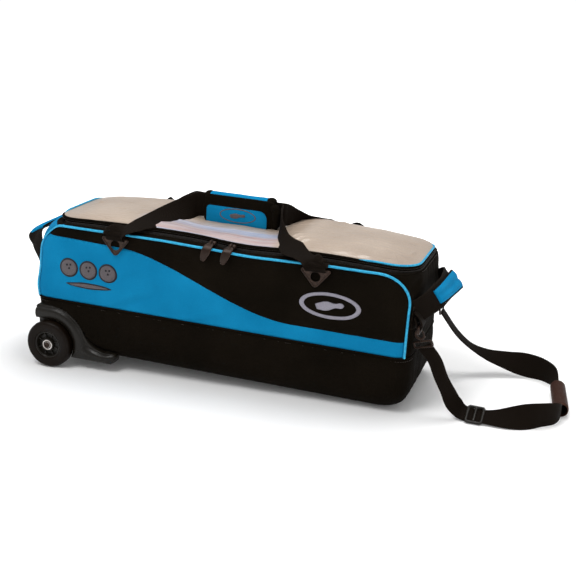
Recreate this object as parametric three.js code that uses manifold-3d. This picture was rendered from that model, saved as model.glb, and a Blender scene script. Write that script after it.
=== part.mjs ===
// Rolling bowling bag: a long three-ball tote on two wheels, with a clear zipped lid, two carry handles
// joined by a wrap, a grab handle on each end and a pull strap that lies on the floor.
//
// Frame: millimetres, +Z up, +X along the bag towards the pull strap, -Y towards the front panel.
// The origin is the centre of the flat underside of the base.

import * as THREE from "three";
import { mergeVertices } from "three/addons/utils/BufferGeometryUtils.js";
import Module from "manifold-3d";

const wasm = await Module();
wasm.setup();

// ---------------------------------------------------------------- driving dimensions

const GAP = 0.3; // clearance between neighbouring pieces
const WALL = 5; // padded fabric wall
const HALF_LENGTH = 405;
const HALF_DEPTH = 134;
const CORNER = 32; // upright corner radius, seen from above
const SEAM_Z = 118; // seam between the base tub and the printed panels
const PANEL_TOP_Z = 281; // top of the front and rear panels
const RIM_Z = 286; // mouth of the bag
const LID_TOP_Z = 299;
const LID_X = 14; // the lid sits a little towards the pull strap
const LID_HALF_LENGTH = 386;
const LID_HALF_DEPTH = 113;
const LID_CORNER = 56;
const PANEL_HALF_LENGTH = 394; // front and rear panels, between their end seams
const PANEL_CORNER = 60; // rounded top corners of those panels

const WHEEL_X = -365;
const WHEEL_Z = 20;
const WHEEL_RADIUS = 51;
const WHEEL_OUTER_Y = 155; // outer face of the front wheel, as a distance from the bag's centre
const WHEEL_WIDTH = 26.5;
const WELL_RADIUS = 54.5;
const RIDGE_RADIUS = 82; // outer edge of the housing's ridge, round the wheel
const HOUSING_OUTER_Y = 140;
const PLATE_OUTER_Y = 127; // axle plate behind the wheel
const PLATE_INNER_Y = 112;

const BALL_RADIUS = 108;
const BALL_SPACING = 236;
const TRAY_TOP_Z = 38;

const STRAP_X = 212; // carry strap roots, from the middle of the bag
const STRAP_WIDTH = 50;
const WEB = 2.6; // webbing thickness
const WRAP_X = 8; // middle of the handle wrap
const WRAP_HALF_LENGTH = 80;
const WRAP_BOTTOM_Z = 303;
const WRAP_TOP_Z = 362;
const WRAP_INNER_Y = 4.4;
const WRAP_OUTER_Y = 14;
const STRAP_IN_WRAP_Y = 2.4; // the two straps lie side by side in the wrap

const RING_WIRE = 2;
const RING_BAR_Z = 267; // bar of each side ring, inside its tab
const RING_Y = 139;

const ANCHOR_Y = 112; // pull strap rings
const ANCHOR_X = 416;
const ANCHOR_Z = 184;
const HANDLE_Z = 222; // end handles
const HANDLE_HALF_SPAN = 86;

// The bag leans on its wheels and on the far end of its base, so the floor slopes in this frame.
const FLOOR_TOUCH_X = 358;
const FLOOR_SLOPE = (WHEEL_RADIUS - WHEEL_Z) / (FLOOR_TOUCH_X - WHEEL_X);
const floorZ = (x) => (x - FLOOR_TOUCH_X) * FLOOR_SLOPE;

// ---------------------------------------------------------------- materials

const material = (color, roughness, metalness = 0) =>
  new THREE.MeshStandardMaterial({ color, roughness, metalness });

const blueFabric = material(0x1281b6, 0.85);
const blueCord = material(0x3ca8d6, 0.6);
const blackFabric = material(0x14110f, 0.9);
const blackWebbing = material(0x1c1712, 0.8);
const clearVinyl = material(0xc8b8aa, 0.25);
const zipCoil = material(0x0d0b0a, 0.5);
const darkMetal = material(0x4a423c, 0.35, 0.9);
const brightSteel = material(0xcfcac4, 0.25, 1);
const blackPlastic = material(0x0f0d0b, 0.3);
const tyreRubber = material(0x120f0b, 0.55);
const greyBoard = material(0x4d4a46, 0.8);
const foam = material(0x2a2a2c, 0.95);
const gripRubber = material(0x3a1d14, 0.7);

// ---------------------------------------------------------------- geometry helpers

// Joins rings of points, all of one length, into a closed surface: capped at both ends, or run round
// into a loop. Opposite sides of a ring split along matching diagonals, so that a thin strip keeps its
// thickness where it twists.
function skin(rings, loop = false) {
  const count = rings[0].length;
  const positions = rings.flat().flatMap((p) => [p.x, p.y, p.z]);
  const index = [];
  const last = loop ? rings.length : rings.length - 1;
  for (let i = 0; i < last; i++) {
    const a = i * count;
    const b = ((i + 1) % rings.length) * count;
    for (let k = 0; k < count; k++) {
      const n = (k + 1) % count;
      if (k < count / 2) {
        index.push(a + k, a + n, b + n, a + k, b + n, b + k);
      } else {
        index.push(a + k, a + n, b + k, a + n, b + n, b + k);
      }
    }
  }
  if (!loop) {
    const end = (rings.length - 1) * count;
    for (let k = 1; k < count - 1; k++) {
      index.push(0, k + 1, k);
      index.push(end, end + k, end + k + 1);
    }
  }
  const geometry = new THREE.BufferGeometry();
  geometry.setAttribute("position", new THREE.Float32BufferAttribute(positions, 3));
  geometry.setIndex(signedVolume(positions, index) < 0 ? index.reverse() : index);
  return geometry;
}

function signedVolume(positions, index) {
  const corner = (i) => new THREE.Vector3().fromArray(positions, 3 * index[i]);
  let sum = 0;
  for (let i = 0; i < index.length; i += 3) {
    sum += corner(i).dot(corner(i + 1).cross(corner(i + 2)));
  }
  return sum / 6;
}

// A rounded rectangle at one height, counter-clockwise from the +X +Y corner.
function roundedRect({ z, x, y, r, cx = 0 }, steps = 6) {
  const points = [];
  for (let quarter = 0; quarter < 4; quarter++) {
    const sx = quarter === 0 || quarter === 3 ? 1 : -1;
    const sy = quarter < 2 ? 1 : -1;
    for (let k = 0; k <= steps; k++) {
      const angle = (quarter + k / steps) * (Math.PI / 2);
      points.push(new THREE.Vector3(
        cx + sx * (x - r) + r * Math.cos(angle),
        sy * (y - r) + r * Math.sin(angle),
        z,
      ));
    }
  }
  return points;
}

const loft = (sections, steps) => skin(sections.map((s) => roundedRect(s, steps)));

// A band that follows one rounded rectangle: profile holds [outward offset, height] pairs.
const band = (rect, profile, steps = 6) =>
  skin(profile.map(([out, z]) =>
    roundedRect({ ...rect, z, x: rect.x + out, y: rect.y + out, r: rect.r + out }, steps)), true);

// Sweeps a flat section along points. across[i] is the section's first axis at point i, and scale(t) its
// width there, as a share.
function sweep(points, across, section, { loop = false, scale = () => 1 } = {}) {
  const n = points.length;
  return skin(points.map((p, i) => {
    const before = points[loop ? (i + n - 1) % n : Math.max(i - 1, 0)];
    const after = points[loop ? (i + 1) % n : Math.min(i + 1, n - 1)];
    const along = after.clone().sub(before).normalize();
    const w = across[i].clone().addScaledVector(along, -across[i].dot(along)).normalize();
    const up = along.clone().cross(w);
    const wide = scale(i / (n - 1));
    return section.map(([a, b]) =>
      p.clone().addScaledVector(w, a * wide).addScaledVector(up, b));
  }), loop);
}

const disc = (radius, sides) =>
  Array.from({ length: sides }, (_, k) => {
    const angle = ((k + 0.5) / sides) * 2 * Math.PI;
    return [radius * Math.cos(angle), radius * Math.sin(angle)];
  });

const strip = (width, thickness) => [
  [width / 2, thickness / 2],
  [-width / 2, thickness / 2],
  [-width / 2, -thickness / 2],
  [width / 2, -thickness / 2],
];

const vec = (x, y, z) => new THREE.Vector3(x, y, z);

// Samples a smooth curve through the points, and turns the across directions smoothly with it.
function smooth(points, across, count) {
  const path = new THREE.CatmullRomCurve3(points, false, "centripetal");
  const turn = new THREE.CatmullRomCurve3(across, false, "centripetal");
  const at = (curve) => Array.from({ length: count + 1 }, (_, i) => curve.getPoint(i / count));
  return [at(path), at(turn)];
}

function ribbon(points, across, width, { count = 16, thickness = WEB, scale } = {}) {
  const [path, turn] = smooth(points, across, count);
  return sweep(path, turn, strip(width, thickness), { scale });
}

// A wire bent into a closed flat loop; normal is square to the loop.
const wireLoop = (points, normal, radius, sides = 6) =>
  sweep(points, points.map(() => normal), disc(radius, sides), { loop: true });

// A shape drawn in X and Z, given thickness between two Y planes.
function plateXZ(shape, yLow, yHigh, curveSegments = 8) {
  const geometry = new THREE.ExtrudeGeometry(shape, {
    depth: yHigh - yLow, bevelEnabled: false, curveSegments,
  });
  return geometry.rotateX(Math.PI / 2).translate(0, yHigh, 0);
}

const box = (x0, x1, y0, y1, z0, z1) =>
  new THREE.BoxGeometry(x1 - x0, y1 - y0, z1 - z0)
    .translate((x0 + x1) / 2, (y0 + y1) / 2, (z0 + z1) / 2);

const REACH = 500; // past every side of the bag, for cutters
const slab = (z0, z1) => box(-REACH, REACH, -REACH, REACH, z0, z1);

// A round rod along X.
const rodX = (radius, length, centre, sides = 12) =>
  new THREE.CylinderGeometry(radius, radius, length, sides)
    .rotateZ(Math.PI / 2)
    .translate(centre.x, centre.y, centre.z);

function toSolid(geometry) {
  const bare = geometry.clone();
  bare.deleteAttribute("normal");
  bare.deleteAttribute("uv");
  const merged = mergeVertices(bare, 1e-4);
  return new wasm.Manifold(new wasm.Mesh({
    numProp: 3,
    vertProperties: merged.attributes.position.array,
    triVerts: new Uint32Array(merged.index.array),
  }));
}

function fromSolid(solid) {
  const mesh = solid.getMesh();
  const geometry = new THREE.BufferGeometry();
  geometry.setAttribute("position", new THREE.BufferAttribute(mesh.vertProperties, 3));
  geometry.setIndex(new THREE.BufferAttribute(mesh.triVerts, 1));
  return geometry;
}

const combine = (how) => (first, ...others) =>
  fromSolid(others.reduce((solid, g) => solid[how](toSolid(g)), toSolid(first)));
const cut = combine("subtract");
const join = combine("add");
const common = combine("intersect");

const mirrorY = (geometry) => {
  const mirrored = geometry.clone().scale(1, -1, 1);
  const turned = mirrored.index ? mirrored : mergeVertices(mirrored);
  turned.setIndex(Array.from(turned.index.array).reverse());
  return turned;
};

const mirrorX = (geometry) => {
  const mirrored = geometry.clone().scale(-1, 1, 1);
  const turned = mirrored.index ? mirrored : mergeVertices(mirrored);
  turned.setIndex(Array.from(turned.index.array).reverse());
  return turned;
};

const bag = new THREE.Group();

function add(name, geometry, look) {
  const mesh = new THREE.Mesh(geometry, look);
  mesh.name = name;
  bag.add(mesh);
}

// ---------------------------------------------------------------- wheel housings

// Side view of the housing: a lip at the bag's end, a ridge round the wheel and a low foot.
// grow widens the outline for the hole that it leaves in the base.
function housingOutline(grow, well) {
  const ridge = RIDGE_RADIUS + grow;
  const sweepRadius = 55 - grow; // hollow curve from the ridge down to the foot
  const footTop = 17 + grow;
  const footBottom = -6;
  const footEnd = -206 + grow;
  const left = -400 - grow;
  const hollowZ = footTop + sweepRadius;
  const hollowX = WHEEL_X + Math.sqrt((ridge + sweepRadius) ** 2 - (hollowZ - WHEEL_Z) ** 2);
  const meet = Math.atan2(hollowZ - WHEEL_Z, hollowX - WHEEL_X);
  const shape = new THREE.Shape();
  shape.moveTo(left, WHEEL_Z + ridge);
  shape.lineTo(WHEEL_X, WHEEL_Z + ridge);
  shape.absarc(WHEEL_X, WHEEL_Z, ridge, Math.PI / 2, meet, true);
  shape.absarc(hollowX, hollowZ, sweepRadius, meet + Math.PI, 1.5 * Math.PI, false);
  shape.lineTo(footEnd - 8, footTop);
  shape.lineTo(footEnd, footTop - 8);
  shape.lineTo(footEnd - 10, footBottom - grow);
  if (well) {
    const low = Math.asin((footBottom - WHEEL_Z) / WELL_RADIUS);
    const high = Math.PI / 2 + 0.18;
    shape.absarc(WHEEL_X, WHEEL_Z, WELL_RADIUS, low, high, false);
    shape.lineTo(left, WHEEL_Z + WELL_RADIUS * Math.sin(high));
  } else {
    shape.lineTo(WHEEL_X, footBottom - grow);
    shape.lineTo(left, WHEEL_Z - 12);
  }
  shape.closePath();
  return shape;
}

function housing() {
  const ridge = plateXZ(housingOutline(0, true), -HOUSING_OUTER_Y, -PLATE_OUTER_Y + 1, 10);
  const plate = plateXZ(housingOutline(0, false), -PLATE_OUTER_Y, -PLATE_INNER_Y, 10);
  const boss = new THREE.CylinderGeometry(11, 14, 2, 16).translate(WHEEL_X, -PLATE_OUTER_Y - 0.2, WHEEL_Z);
  const bore = new THREE.CylinderGeometry(4.4, 4.4, 60, 12).translate(WHEEL_X, -PLATE_OUTER_Y, WHEEL_Z);
  return cut(join(ridge, plate, boss), bore);
}

const AXLE_FLANGE = 3; // thickness of the axle pin's inner flange
const envelopeInnerY = PLATE_INNER_Y - AXLE_FLANGE - 2;
const housingEnvelope = plateXZ(housingOutline(1, false), -HOUSING_OUTER_Y - 10, -envelopeInnerY, 10);
const housingEnvelopes = [housingEnvelope, mirrorY(housingEnvelope)];

const frontHousing = housing();
add("wheel_housing_front", frontHousing, blackPlastic);
add("wheel_housing_rear", mirrorY(frontHousing), blackPlastic);

// ---------------------------------------------------------------- wheels

const HUB_RADIUS = 30;
const BEARING_RADIUS = 11;
const BEARING_WIDTH = 7;
const AXLE_RADIUS = 4;

// A solid of revolution about the front wheel's axle. Profile pairs are [radius, distance out from the
// bag's middle].
const turnedAboutAxle = (profile, segments) =>
  new THREE.LatheGeometry(profile.map(([r, out]) => new THREE.Vector2(r, -out)).reverse(), segments)
    .translate(WHEEL_X, 0, WHEEL_Z);

function tyre() {
  const inner = WHEEL_OUTER_Y - WHEEL_WIDTH;
  const outer = WHEEL_OUTER_Y;
  const r = WHEEL_RADIUS;
  return turnedAboutAxle([
    [HUB_RADIUS, inner], [r - 5, inner], [r - 1.2, inner + 4], [r, inner + 9],
    [r, outer - 9], [r - 1.2, outer - 4], [r - 5, outer], [HUB_RADIUS, outer], [HUB_RADIUS, inner],
  ], 24);
}

function hub() {
  const inner = WHEEL_OUTER_Y - WHEEL_WIDTH;
  const outer = WHEEL_OUTER_Y;
  const rim = HUB_RADIUS - GAP;
  const seat = BEARING_RADIUS + GAP;
  const web = 6; // recess depth on each face
  const body = turnedAboutAxle([
    [seat, inner + 0.5], [14, inner + 0.5], [14, inner + web], [26, inner + web], [26, inner + 1],
    [rim, inner + 1], [rim, outer - 1], [26, outer - 1], [26, outer - web], [14, outer - web],
    [14, outer - 0.5], [seat, outer - 0.5], [seat, inner + 0.5],
  ], 24);
  const holes = Array.from({ length: 6 }, (_, k) => {
    const angle = (k * Math.PI) / 3;
    return new THREE.CylinderGeometry(4, 4, 60, 6)
      .translate(WHEEL_X + 20 * Math.cos(angle), -(inner + outer) / 2, WHEEL_Z + 20 * Math.sin(angle));
  });
  return cut(body, ...holes);
}

function bearing(outerFace) {
  const innerFace = outerFace - BEARING_WIDTH;
  const bore = AXLE_RADIUS + GAP;
  return turnedAboutAxle([
    [bore, innerFace], [BEARING_RADIUS, innerFace], [BEARING_RADIUS, outerFace], [bore, outerFace],
    [bore, innerFace],
  ], 16);
}

function axlePin() {
  const flangeInner = PLATE_INNER_Y - GAP - AXLE_FLANGE;
  return turnedAboutAxle([
    [0, flangeInner], [8, flangeInner], [8, PLATE_INNER_Y - GAP], [AXLE_RADIUS, PLATE_INNER_Y - GAP],
    [AXLE_RADIUS, WHEEL_OUTER_Y + GAP], [6.5, WHEEL_OUTER_Y + GAP], [5.5, WHEEL_OUTER_Y + 3.5],
    [0, WHEEL_OUTER_Y + 4],
  ], 16);
}

const OUTER_BEARING_FACE = WHEEL_OUTER_Y - 0.5;
const INNER_BEARING_FACE = WHEEL_OUTER_Y - WHEEL_WIDTH + 0.5 + BEARING_WIDTH;
const SIDES = [["front", (geometry) => geometry], ["rear", mirrorY]];

for (const [side, place] of SIDES) {
  add(`wheel_tyre_${side}`, place(tyre()), tyreRubber);
  add(`wheel_hub_${side}`, place(hub()), blackPlastic);
  add(`wheel_bearing_outer_${side}`, place(bearing(OUTER_BEARING_FACE)), brightSteel);
  add(`wheel_bearing_inner_${side}`, place(bearing(INNER_BEARING_FACE)), brightSteel);
  add(`axle_pin_${side}`, place(axlePin()), brightSteel);
}

// ---------------------------------------------------------------- body shell

const at = (z, x, y, r, cx = 0) => ({ z, x, y, r, cx });
const lidOutline = (z, out) =>
  at(z, LID_HALF_LENGTH + out, LID_HALF_DEPTH + out, LID_CORNER + out, LID_X);

// The tub's bottom edge is a quarter round: how far its outside is drawn in at a height.
const TUB_ROUND = 48;
const drawnIn = (z) => TUB_ROUND * (1 - Math.sqrt(1 - (1 - z / TUB_ROUND) ** 2));

const baseOuter = [
  ...[0, 3, 9, 18, 31, TUB_ROUND].map((z) =>
    at(z, HALF_LENGTH - drawnIn(z), HALF_DEPTH - drawnIn(z), CORNER + 4)),
  at(SEAM_Z, HALF_LENGTH, HALF_DEPTH, CORNER),
];

const upperOuter = [
  at(SEAM_Z + GAP, HALF_LENGTH, HALF_DEPTH, CORNER),
  at(200, HALF_LENGTH, HALF_DEPTH, CORNER + 4),
  at(245, HALF_LENGTH, HALF_DEPTH, CORNER + 12),
  at(PANEL_TOP_Z, HALF_LENGTH - 2, HALF_DEPTH - 1, 66),
  lidOutline(RIM_Z, 1),
];

// The same sections pulled in by the wall, for the hollow inside.
const pulledIn = (sections, by, zShift = 0) =>
  sections.map((s) => at(s.z + zShift, s.x - by, s.y - by, Math.max(s.r - by, 8)));

// Half depth of the upper body's outside at a point along it.
function outsideY(x, z) {
  const level = upperOuter.findIndex((s) => s.z >= z);
  const above = upperOuter[Math.max(level, 1)];
  const below = upperOuter[Math.max(level, 1) - 1];
  const t = THREE.MathUtils.clamp((z - below.z) / (above.z - below.z), 0, 1);
  const mix = (key) => below[key] + t * (above[key] - below[key]);
  const r = mix("r");
  const past = Math.min(Math.max(Math.abs(x) - (mix("x") - r), 0), r);
  return mix("y") - r + Math.sqrt(r * r - past * past);
}

function baseTub() {
  const hollow = pulledIn(baseOuter, WALL);
  const floor = WALL - 1;
  for (const section of hollow) section.z += floor * Math.max(1 - section.z / TUB_ROUND, 0);
  hollow.at(-1).z = SEAM_Z + 20;
  return cut(loft(baseOuter), loft(hollow), ...housingEnvelopes);
}

add("base_tub", baseTub(), blackFabric);

const boardSection = (z) => at(z, HALF_LENGTH - TUB_ROUND - 8, HALF_DEPTH - TUB_ROUND - 8, 20);
add("base_board", cut(loft([boardSection(5), boardSection(9)]), ...housingEnvelopes), greyBoard);

function ballTray() {
  const slab = loft([
    at(9.5, HALF_LENGTH - 34, HALF_DEPTH - 33, 22),
    at(TRAY_TOP_Z, HALF_LENGTH - 22, HALF_DEPTH - 11, 24),
  ], 3);
  const seats = [-1, 0, 1].map((k) =>
    new THREE.SphereGeometry(BALL_RADIUS + 1, 20, 16)
      .rotateX(Math.PI / 2)
      .translate(k * BALL_SPACING, 0, BALL_RADIUS + 14));
  return cut(slab, ...housingEnvelopes, ...seats);
}

add("foam_ball_tray", ballTray(), foam);

// Side view of the front and rear panels: straight ends, rounded top corners.
function panelOutline(grow) {
  const x = PANEL_HALF_LENGTH + grow;
  const top = PANEL_TOP_Z + grow;
  const r = PANEL_CORNER + grow;
  const shape = new THREE.Shape();
  shape.moveTo(-x, SEAM_Z - 5);
  shape.lineTo(-x, top - r);
  shape.absarc(-x + r, top - r, r, Math.PI, Math.PI / 2, true);
  shape.absarc(x - r, top - r, r, Math.PI / 2, 0, true);
  shape.lineTo(x, SEAM_Z - 5);
  shape.closePath();
  return shape;
}

// Height of the blue field's upper edge: high at the wheel end, falling in one sweep to a low stripe.
function swooshZ(x) {
  const fall = THREE.MathUtils.smoothstep(x, -210, 170);
  const high = 257 - 0.03 * (x + 360);
  const low = 150;
  return high + (low - high) * fall;
}

function blueRegion(lift) {
  const shape = new THREE.Shape();
  const end = HALF_LENGTH + 20;
  shape.moveTo(-end, 0);
  const steps = 28;
  for (let k = 0; k <= steps; k++) {
    const x = -end + (2 * end * k) / steps;
    shape.lineTo(x, swooshZ(x) + lift);
  }
  shape.lineTo(end, 0);
  shape.closePath();
  return shape;
}

// The whole shell above the seam, open at the bottom and at the mouth.
function upperShell() {
  const mouthRim = 8; // how far the fabric turns in under the zipper
  const opening = (z) => lidOutline(z, -mouthRim);
  const walls = pulledIn(upperOuter.slice(0, -1), WALL, -0.4);
  return cut(
    loft(upperOuter),
    loft([...walls, opening(RIM_Z - 2), opening(RIM_Z + WALL)]),
    slab(SEAM_Z - WALL, SEAM_Z + GAP),
  );
}

const shell = upperShell();
const outerCut = -HALF_DEPTH - 20; // cutters for the front panel run between these two Y planes
const innerCut = -LID_HALF_DEPTH + 23;
const frontCutter = (grow) => plateXZ(panelOutline(grow), outerCut, innerCut + grow, 6);
const blueCutter = (lift) => plateXZ(blueRegion(lift), outerCut, innerCut + WALL, 1);

const frontPanel = common(shell, frontCutter(0));
add("front_panel_blue", common(frontPanel, blueCutter(0)), blueFabric);
add("front_panel_black", cut(frontPanel, blueCutter(GAP)), blackFabric);
add("rear_panel", mirrorY(frontPanel), blackFabric);

const ends = cut(shell, frontCutter(GAP), mirrorY(frontCutter(GAP)));
const leftHalf = box(-REACH, -LID_CORNER, -REACH, REACH, 0, PANEL_TOP_Z);
const rightHalf = box(LID_CORNER, REACH, -REACH, REACH, 0, PANEL_TOP_Z);
add("left_end_panel", common(ends, leftHalf), blueFabric);
add("right_end_panel", common(ends, rightHalf), blackFabric);
add("top_gusset", common(ends, slab(PANEL_TOP_Z + GAP, REACH)), blackFabric);

// Piping cord along the seam of one big panel, just outside the fabric.
function piping() {
  const cord = 2.5;
  const x = PANEL_HALF_LENGTH;
  const r = PANEL_CORNER;
  const upright = [SEAM_Z + 3, 145, 170, 190, 202];
  const outline = upright.map((z) => [-x, z]);
  const corner = (cx, from) => {
    for (let k = 0; k <= 8; k++) {
      const angle = from - (k / 8) * (Math.PI / 2);
      outline.push([cx + r * Math.cos(angle), PANEL_TOP_Z - r + r * Math.sin(angle)]);
    }
  };
  corner(-x + r, Math.PI);
  corner(x - r, Math.PI / 2);
  outline.push(...upright.reverse().map((z) => [x, z]));
  const points = outline.map(([px, pz]) => vec(px, -(outsideY(px, pz) + cord + 1), pz));
  return sweep(points, points.map(() => vec(0, 1, 0)), disc(cord, 6));
}

add("front_piping", piping(), blueCord);
add("rear_piping", mirrorY(piping()), blueCord);

// ---------------------------------------------------------------- lid and zipper

const mouth = lidOutline(0, 0);
// The zipper runs round the front and both ends; along the back the lid hangs on a strip of fabric.
const hingeHalf = LID_HALF_LENGTH - 20;
const hingeStrip = box(LID_X - hingeHalf, LID_X + hingeHalf, LID_HALF_DEPTH - 17, REACH, 0, REACH);
const zipBand = (z) => cut(band(mouth, [[-2, z], [2, z], [2, z + 2], [-2, z + 2]]), hingeStrip);

add("zipper_chain_body", zipBand(RIM_Z + GAP), zipCoil);
add("zipper_chain_lid", zipBand(RIM_Z + 2.6), zipCoil);

const LID_BOTTOM_Z = RIM_Z + 5;
const LID_SHEET_Z = LID_TOP_Z - 3; // underside of the clear sheet
const BINDING = 12; // width of the fabric edge round the clear sheet
const CORD_RADIUS = 2.3;

function lidBand() {
  return band(mouth, [
    [-BINDING, LID_SHEET_Z], [0, LID_BOTTOM_Z], [0, LID_TOP_Z - 1], [-BINDING, LID_TOP_Z - 1],
  ]);
}

function lidWindow() {
  const inset = -BINDING - GAP;
  return loft([lidOutline(LID_SHEET_Z, inset), lidOutline(LID_TOP_Z - 1, inset)]);
}

const lidCord = disc(CORD_RADIUS, 6).map(([a, b]) => [a - 2.5, LID_TOP_Z + CORD_RADIUS - 0.5 + b]);
add("lid_band", lidBand(), blackFabric);
add("lid_window", lidWindow(), clearVinyl);
add("lid_piping", band(mouth, lidCord), blueCord);

const SLIDER_Z = 290;
const SLIDER_X = { left: -8, right: 34 };
const SLIDER_FRONT_Y = -124;
const PIN_Y = -129; // the pin that each pull hangs on
const PIN_Z = SLIDER_Z + 1;
const PIN_RADIUS = 1;
const LUG = 2; // the lugs beside the pull are this thick, and reach this far round the pin

// The slider straddles the coils; two lugs on its face hold the pin.
function slider(x) {
  const plate = box(
    x - 7.5, x + 7.5, SLIDER_FRONT_Y, -LID_HALF_DEPTH - 2.6, SLIDER_Z - 3.4, SLIDER_Z + 3.6,
  );
  const lugs = [-5, 5].map((side) => box(
    x + side - LUG / 2, x + side + LUG / 2, PIN_Y - LUG, SLIDER_FRONT_Y + 1, PIN_Z - LUG, PIN_Z + LUG,
  ));
  return join(plate, ...lugs, rodX(PIN_RADIUS, 10, vec(x, PIN_Y, PIN_Z)));
}

// A leaf that hangs down over the front panel from an eye round the pin.
function pull(x) {
  const path = [
    vec(x, PIN_Y - 2, PIN_Z - 0.5), vec(x, PIN_Y - 8, PIN_Z - 3), vec(x, PIN_Y - 13.6, PIN_Z - 10),
    vec(x, PIN_Y - 15, PIN_Z - 34),
  ];
  const leaf = ribbon(path, path.map(() => vec(1, 0, 0)), 12, {
    count: 8, thickness: 2.2, scale: (t) => 0.5 + 0.5 * Math.sin(Math.PI * t),
  });
  const centre = vec(x, PIN_Y, PIN_Z);
  return cut(join(rodX(2.6, 7, centre), leaf), rodX(PIN_RADIUS + GAP, 30, centre));
}

for (const [side, x] of Object.entries(SLIDER_X)) {
  add(`zipper_slider_${side}`, slider(x), darkMetal);
  add(`zipper_pull_${side}`, pull(x), darkMetal);
}

// ---------------------------------------------------------------- side rings and carry handles

const RING_HALF_BAR = 30;

// A triangular ring: a straight bar on top, sides that run down to a small rounded tip.
function triangleRing(x, wire) {
  const tip = 6;
  const drop = 28;
  const points = [
    vec(x - RING_HALF_BAR, -RING_Y, RING_BAR_Z),
    vec(x + RING_HALF_BAR, -RING_Y, RING_BAR_Z),
    vec(x + RING_HALF_BAR + 0.5, -RING_Y, RING_BAR_Z - 3),
    vec(x + tip + 2, -RING_Y, RING_BAR_Z - drop + 2),
    vec(x + tip - 2, -RING_Y, RING_BAR_Z - drop),
    vec(x - tip + 2, -RING_Y, RING_BAR_Z - drop),
    vec(x - tip - 2, -RING_Y, RING_BAR_Z - drop + 2),
    vec(x - RING_HALF_BAR - 0.5, -RING_Y, RING_BAR_Z - 3),
  ];
  return wireLoop(points, vec(0, 1, 0), wire, 8);
}

// The tab is webbing folded round the ring's bar and sewn to the top of the panel.
function ringTab(x) {
  const half = 26;
  const fold = 4.5;
  const bar = vec(x, -RING_Y, RING_BAR_Z);
  const sewn = box(x - half, x + half, -RING_Y, -HALF_DEPTH - 0.4, RING_BAR_Z - fold, RING_BAR_Z + 7);
  const outer = box(x - half, x + half, -RING_Y - fold, -RING_Y - 1.2, RING_BAR_Z, RIM_Z + 2);
  return cut(join(rodX(fold, 2 * half, bar), sewn, outer), rodX(RING_WIRE + 0.7, 80, bar));
}

// One carry strap. From each root it bends over the edge of the lid, runs back and inwards just above the
// sheet, and turns on edge into the wrap. The edge of the webbing that is outermost at the root ends on top.
// Each stop is a place and the direction of that edge, for the right half, with Y counted away from the
// middle of the bag.
const strapRoot = [
  [[STRAP_X, 141, RIM_Z + 4.5], [1, 0, 0]],
  [[STRAP_X - 1, 138.5, 300], [1, 0, 0]],
];
const strapInWrap = [
  [[WRAP_HALF_LENGTH + 2, STRAP_IN_WRAP_Y, 330], [0, 0, 1]],
  [[WRAP_HALF_LENGTH - 30, STRAP_IN_WRAP_Y, 330], [0, 0, 1]],
];
const strapRight = [
  ...strapRoot,
  [[STRAP_X - 10, 128, 308], [0.98, -0.1, 0.04]],
  [[STRAP_X - 32, 111, 311], [0.9, -0.1, 0.06]],
  [[STRAP_X - 64, 86, 314], [0.85, -0.1, 0.16]],
  [[STRAP_X - 92, 54, 318], [0.6, -0.25, 0.6]],
  [[STRAP_X - 108, 22, 326], [0.3, -0.12, 0.92]],
  [[WRAP_HALF_LENGTH + 12, 3.2, 330], [0.02, 0, 1]],
  ...strapInWrap,
];
const strapLeft = [
  ...strapRoot,
  [[STRAP_X - 8, 128, 308], [0.98, -0.1, 0.04]],
  [[STRAP_X - 26, 104, 312], [0.88, -0.1, 0.1]],
  [[STRAP_X - 52, 75, 316], [0.74, -0.2, 0.4]],
  [[STRAP_X - 80, 46, 320], [0.5, -0.2, 0.75]],
  [[STRAP_X - 106, 22, 327], [0.2, -0.1, 0.95]],
  [[WRAP_HALF_LENGTH + 10, 6, 330], [0.03, 0, 1]],
  ...strapInWrap,
];

function carryStrap() {
  const stops = [
    ...strapLeft.map(([[x, y, z], [a, b, c]]) => [vec(-x, -y, z), vec(-a, -b, c)]),
    ...strapRight.map(([[x, y, z], [a, b, c]]) => [vec(x, -y, z), vec(a, -b, c)]).reverse(),
  ];
  return ribbon(stops.map((s) => s[0]), stops.map((s) => s[1]), STRAP_WIDTH, { count: 52 });
}

// A flap drawn in X and Z whose left top corner is tight and whose right top corner is wide.
function flap(x0, x1, z0, z1, r, yLow, yHigh) {
  const outline = new THREE.Shape();
  outline.moveTo(x0, z0);
  outline.lineTo(x0, z1 - r);
  outline.absarc(x0 + r, z1 - r, r, Math.PI, Math.PI / 2, true);
  outline.absarc(x1 - 2 * r, z1 - 2 * r, 2 * r, Math.PI / 2, 0, true);
  outline.lineTo(x1, z0);
  outline.closePath();
  return plateXZ(outline, yLow, yHigh, 4);
}

const wrapFrom = WRAP_X - WRAP_HALF_LENGTH;
const wrapTo = WRAP_X + WRAP_HALF_LENGTH;
const ROLL = 6; // height of the blue roll along the top of the wrap

const wrapFlap = (yLow, yHigh) =>
  flap(wrapFrom, wrapTo, WRAP_BOTTOM_Z, WRAP_TOP_Z - ROLL, 9, yLow, yHigh);

// The rear half of the wrap carries the roll that closes over the top.
function wrapRear() {
  const from = wrapFrom + 14;
  const to = wrapTo - 24;
  const side = WRAP_OUTER_Y - 2;
  const bottom = WRAP_TOP_Z - ROLL;
  return join(
    wrapFlap(WRAP_INNER_Y, WRAP_OUTER_Y),
    box(from, to, -side, side, bottom + GAP, WRAP_TOP_Z),
    box(from, to, WRAP_INNER_Y + 1, side, bottom - 3, WRAP_TOP_Z),
  );
}

function gripPatch() {
  const face = -WRAP_OUTER_Y - GAP;
  const top = WRAP_TOP_Z - ROLL - 10;
  return flap(wrapFrom + 8, wrapTo - 20, WRAP_BOTTOM_Z + 2, top, 11, face - 1.5, face);
}

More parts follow.
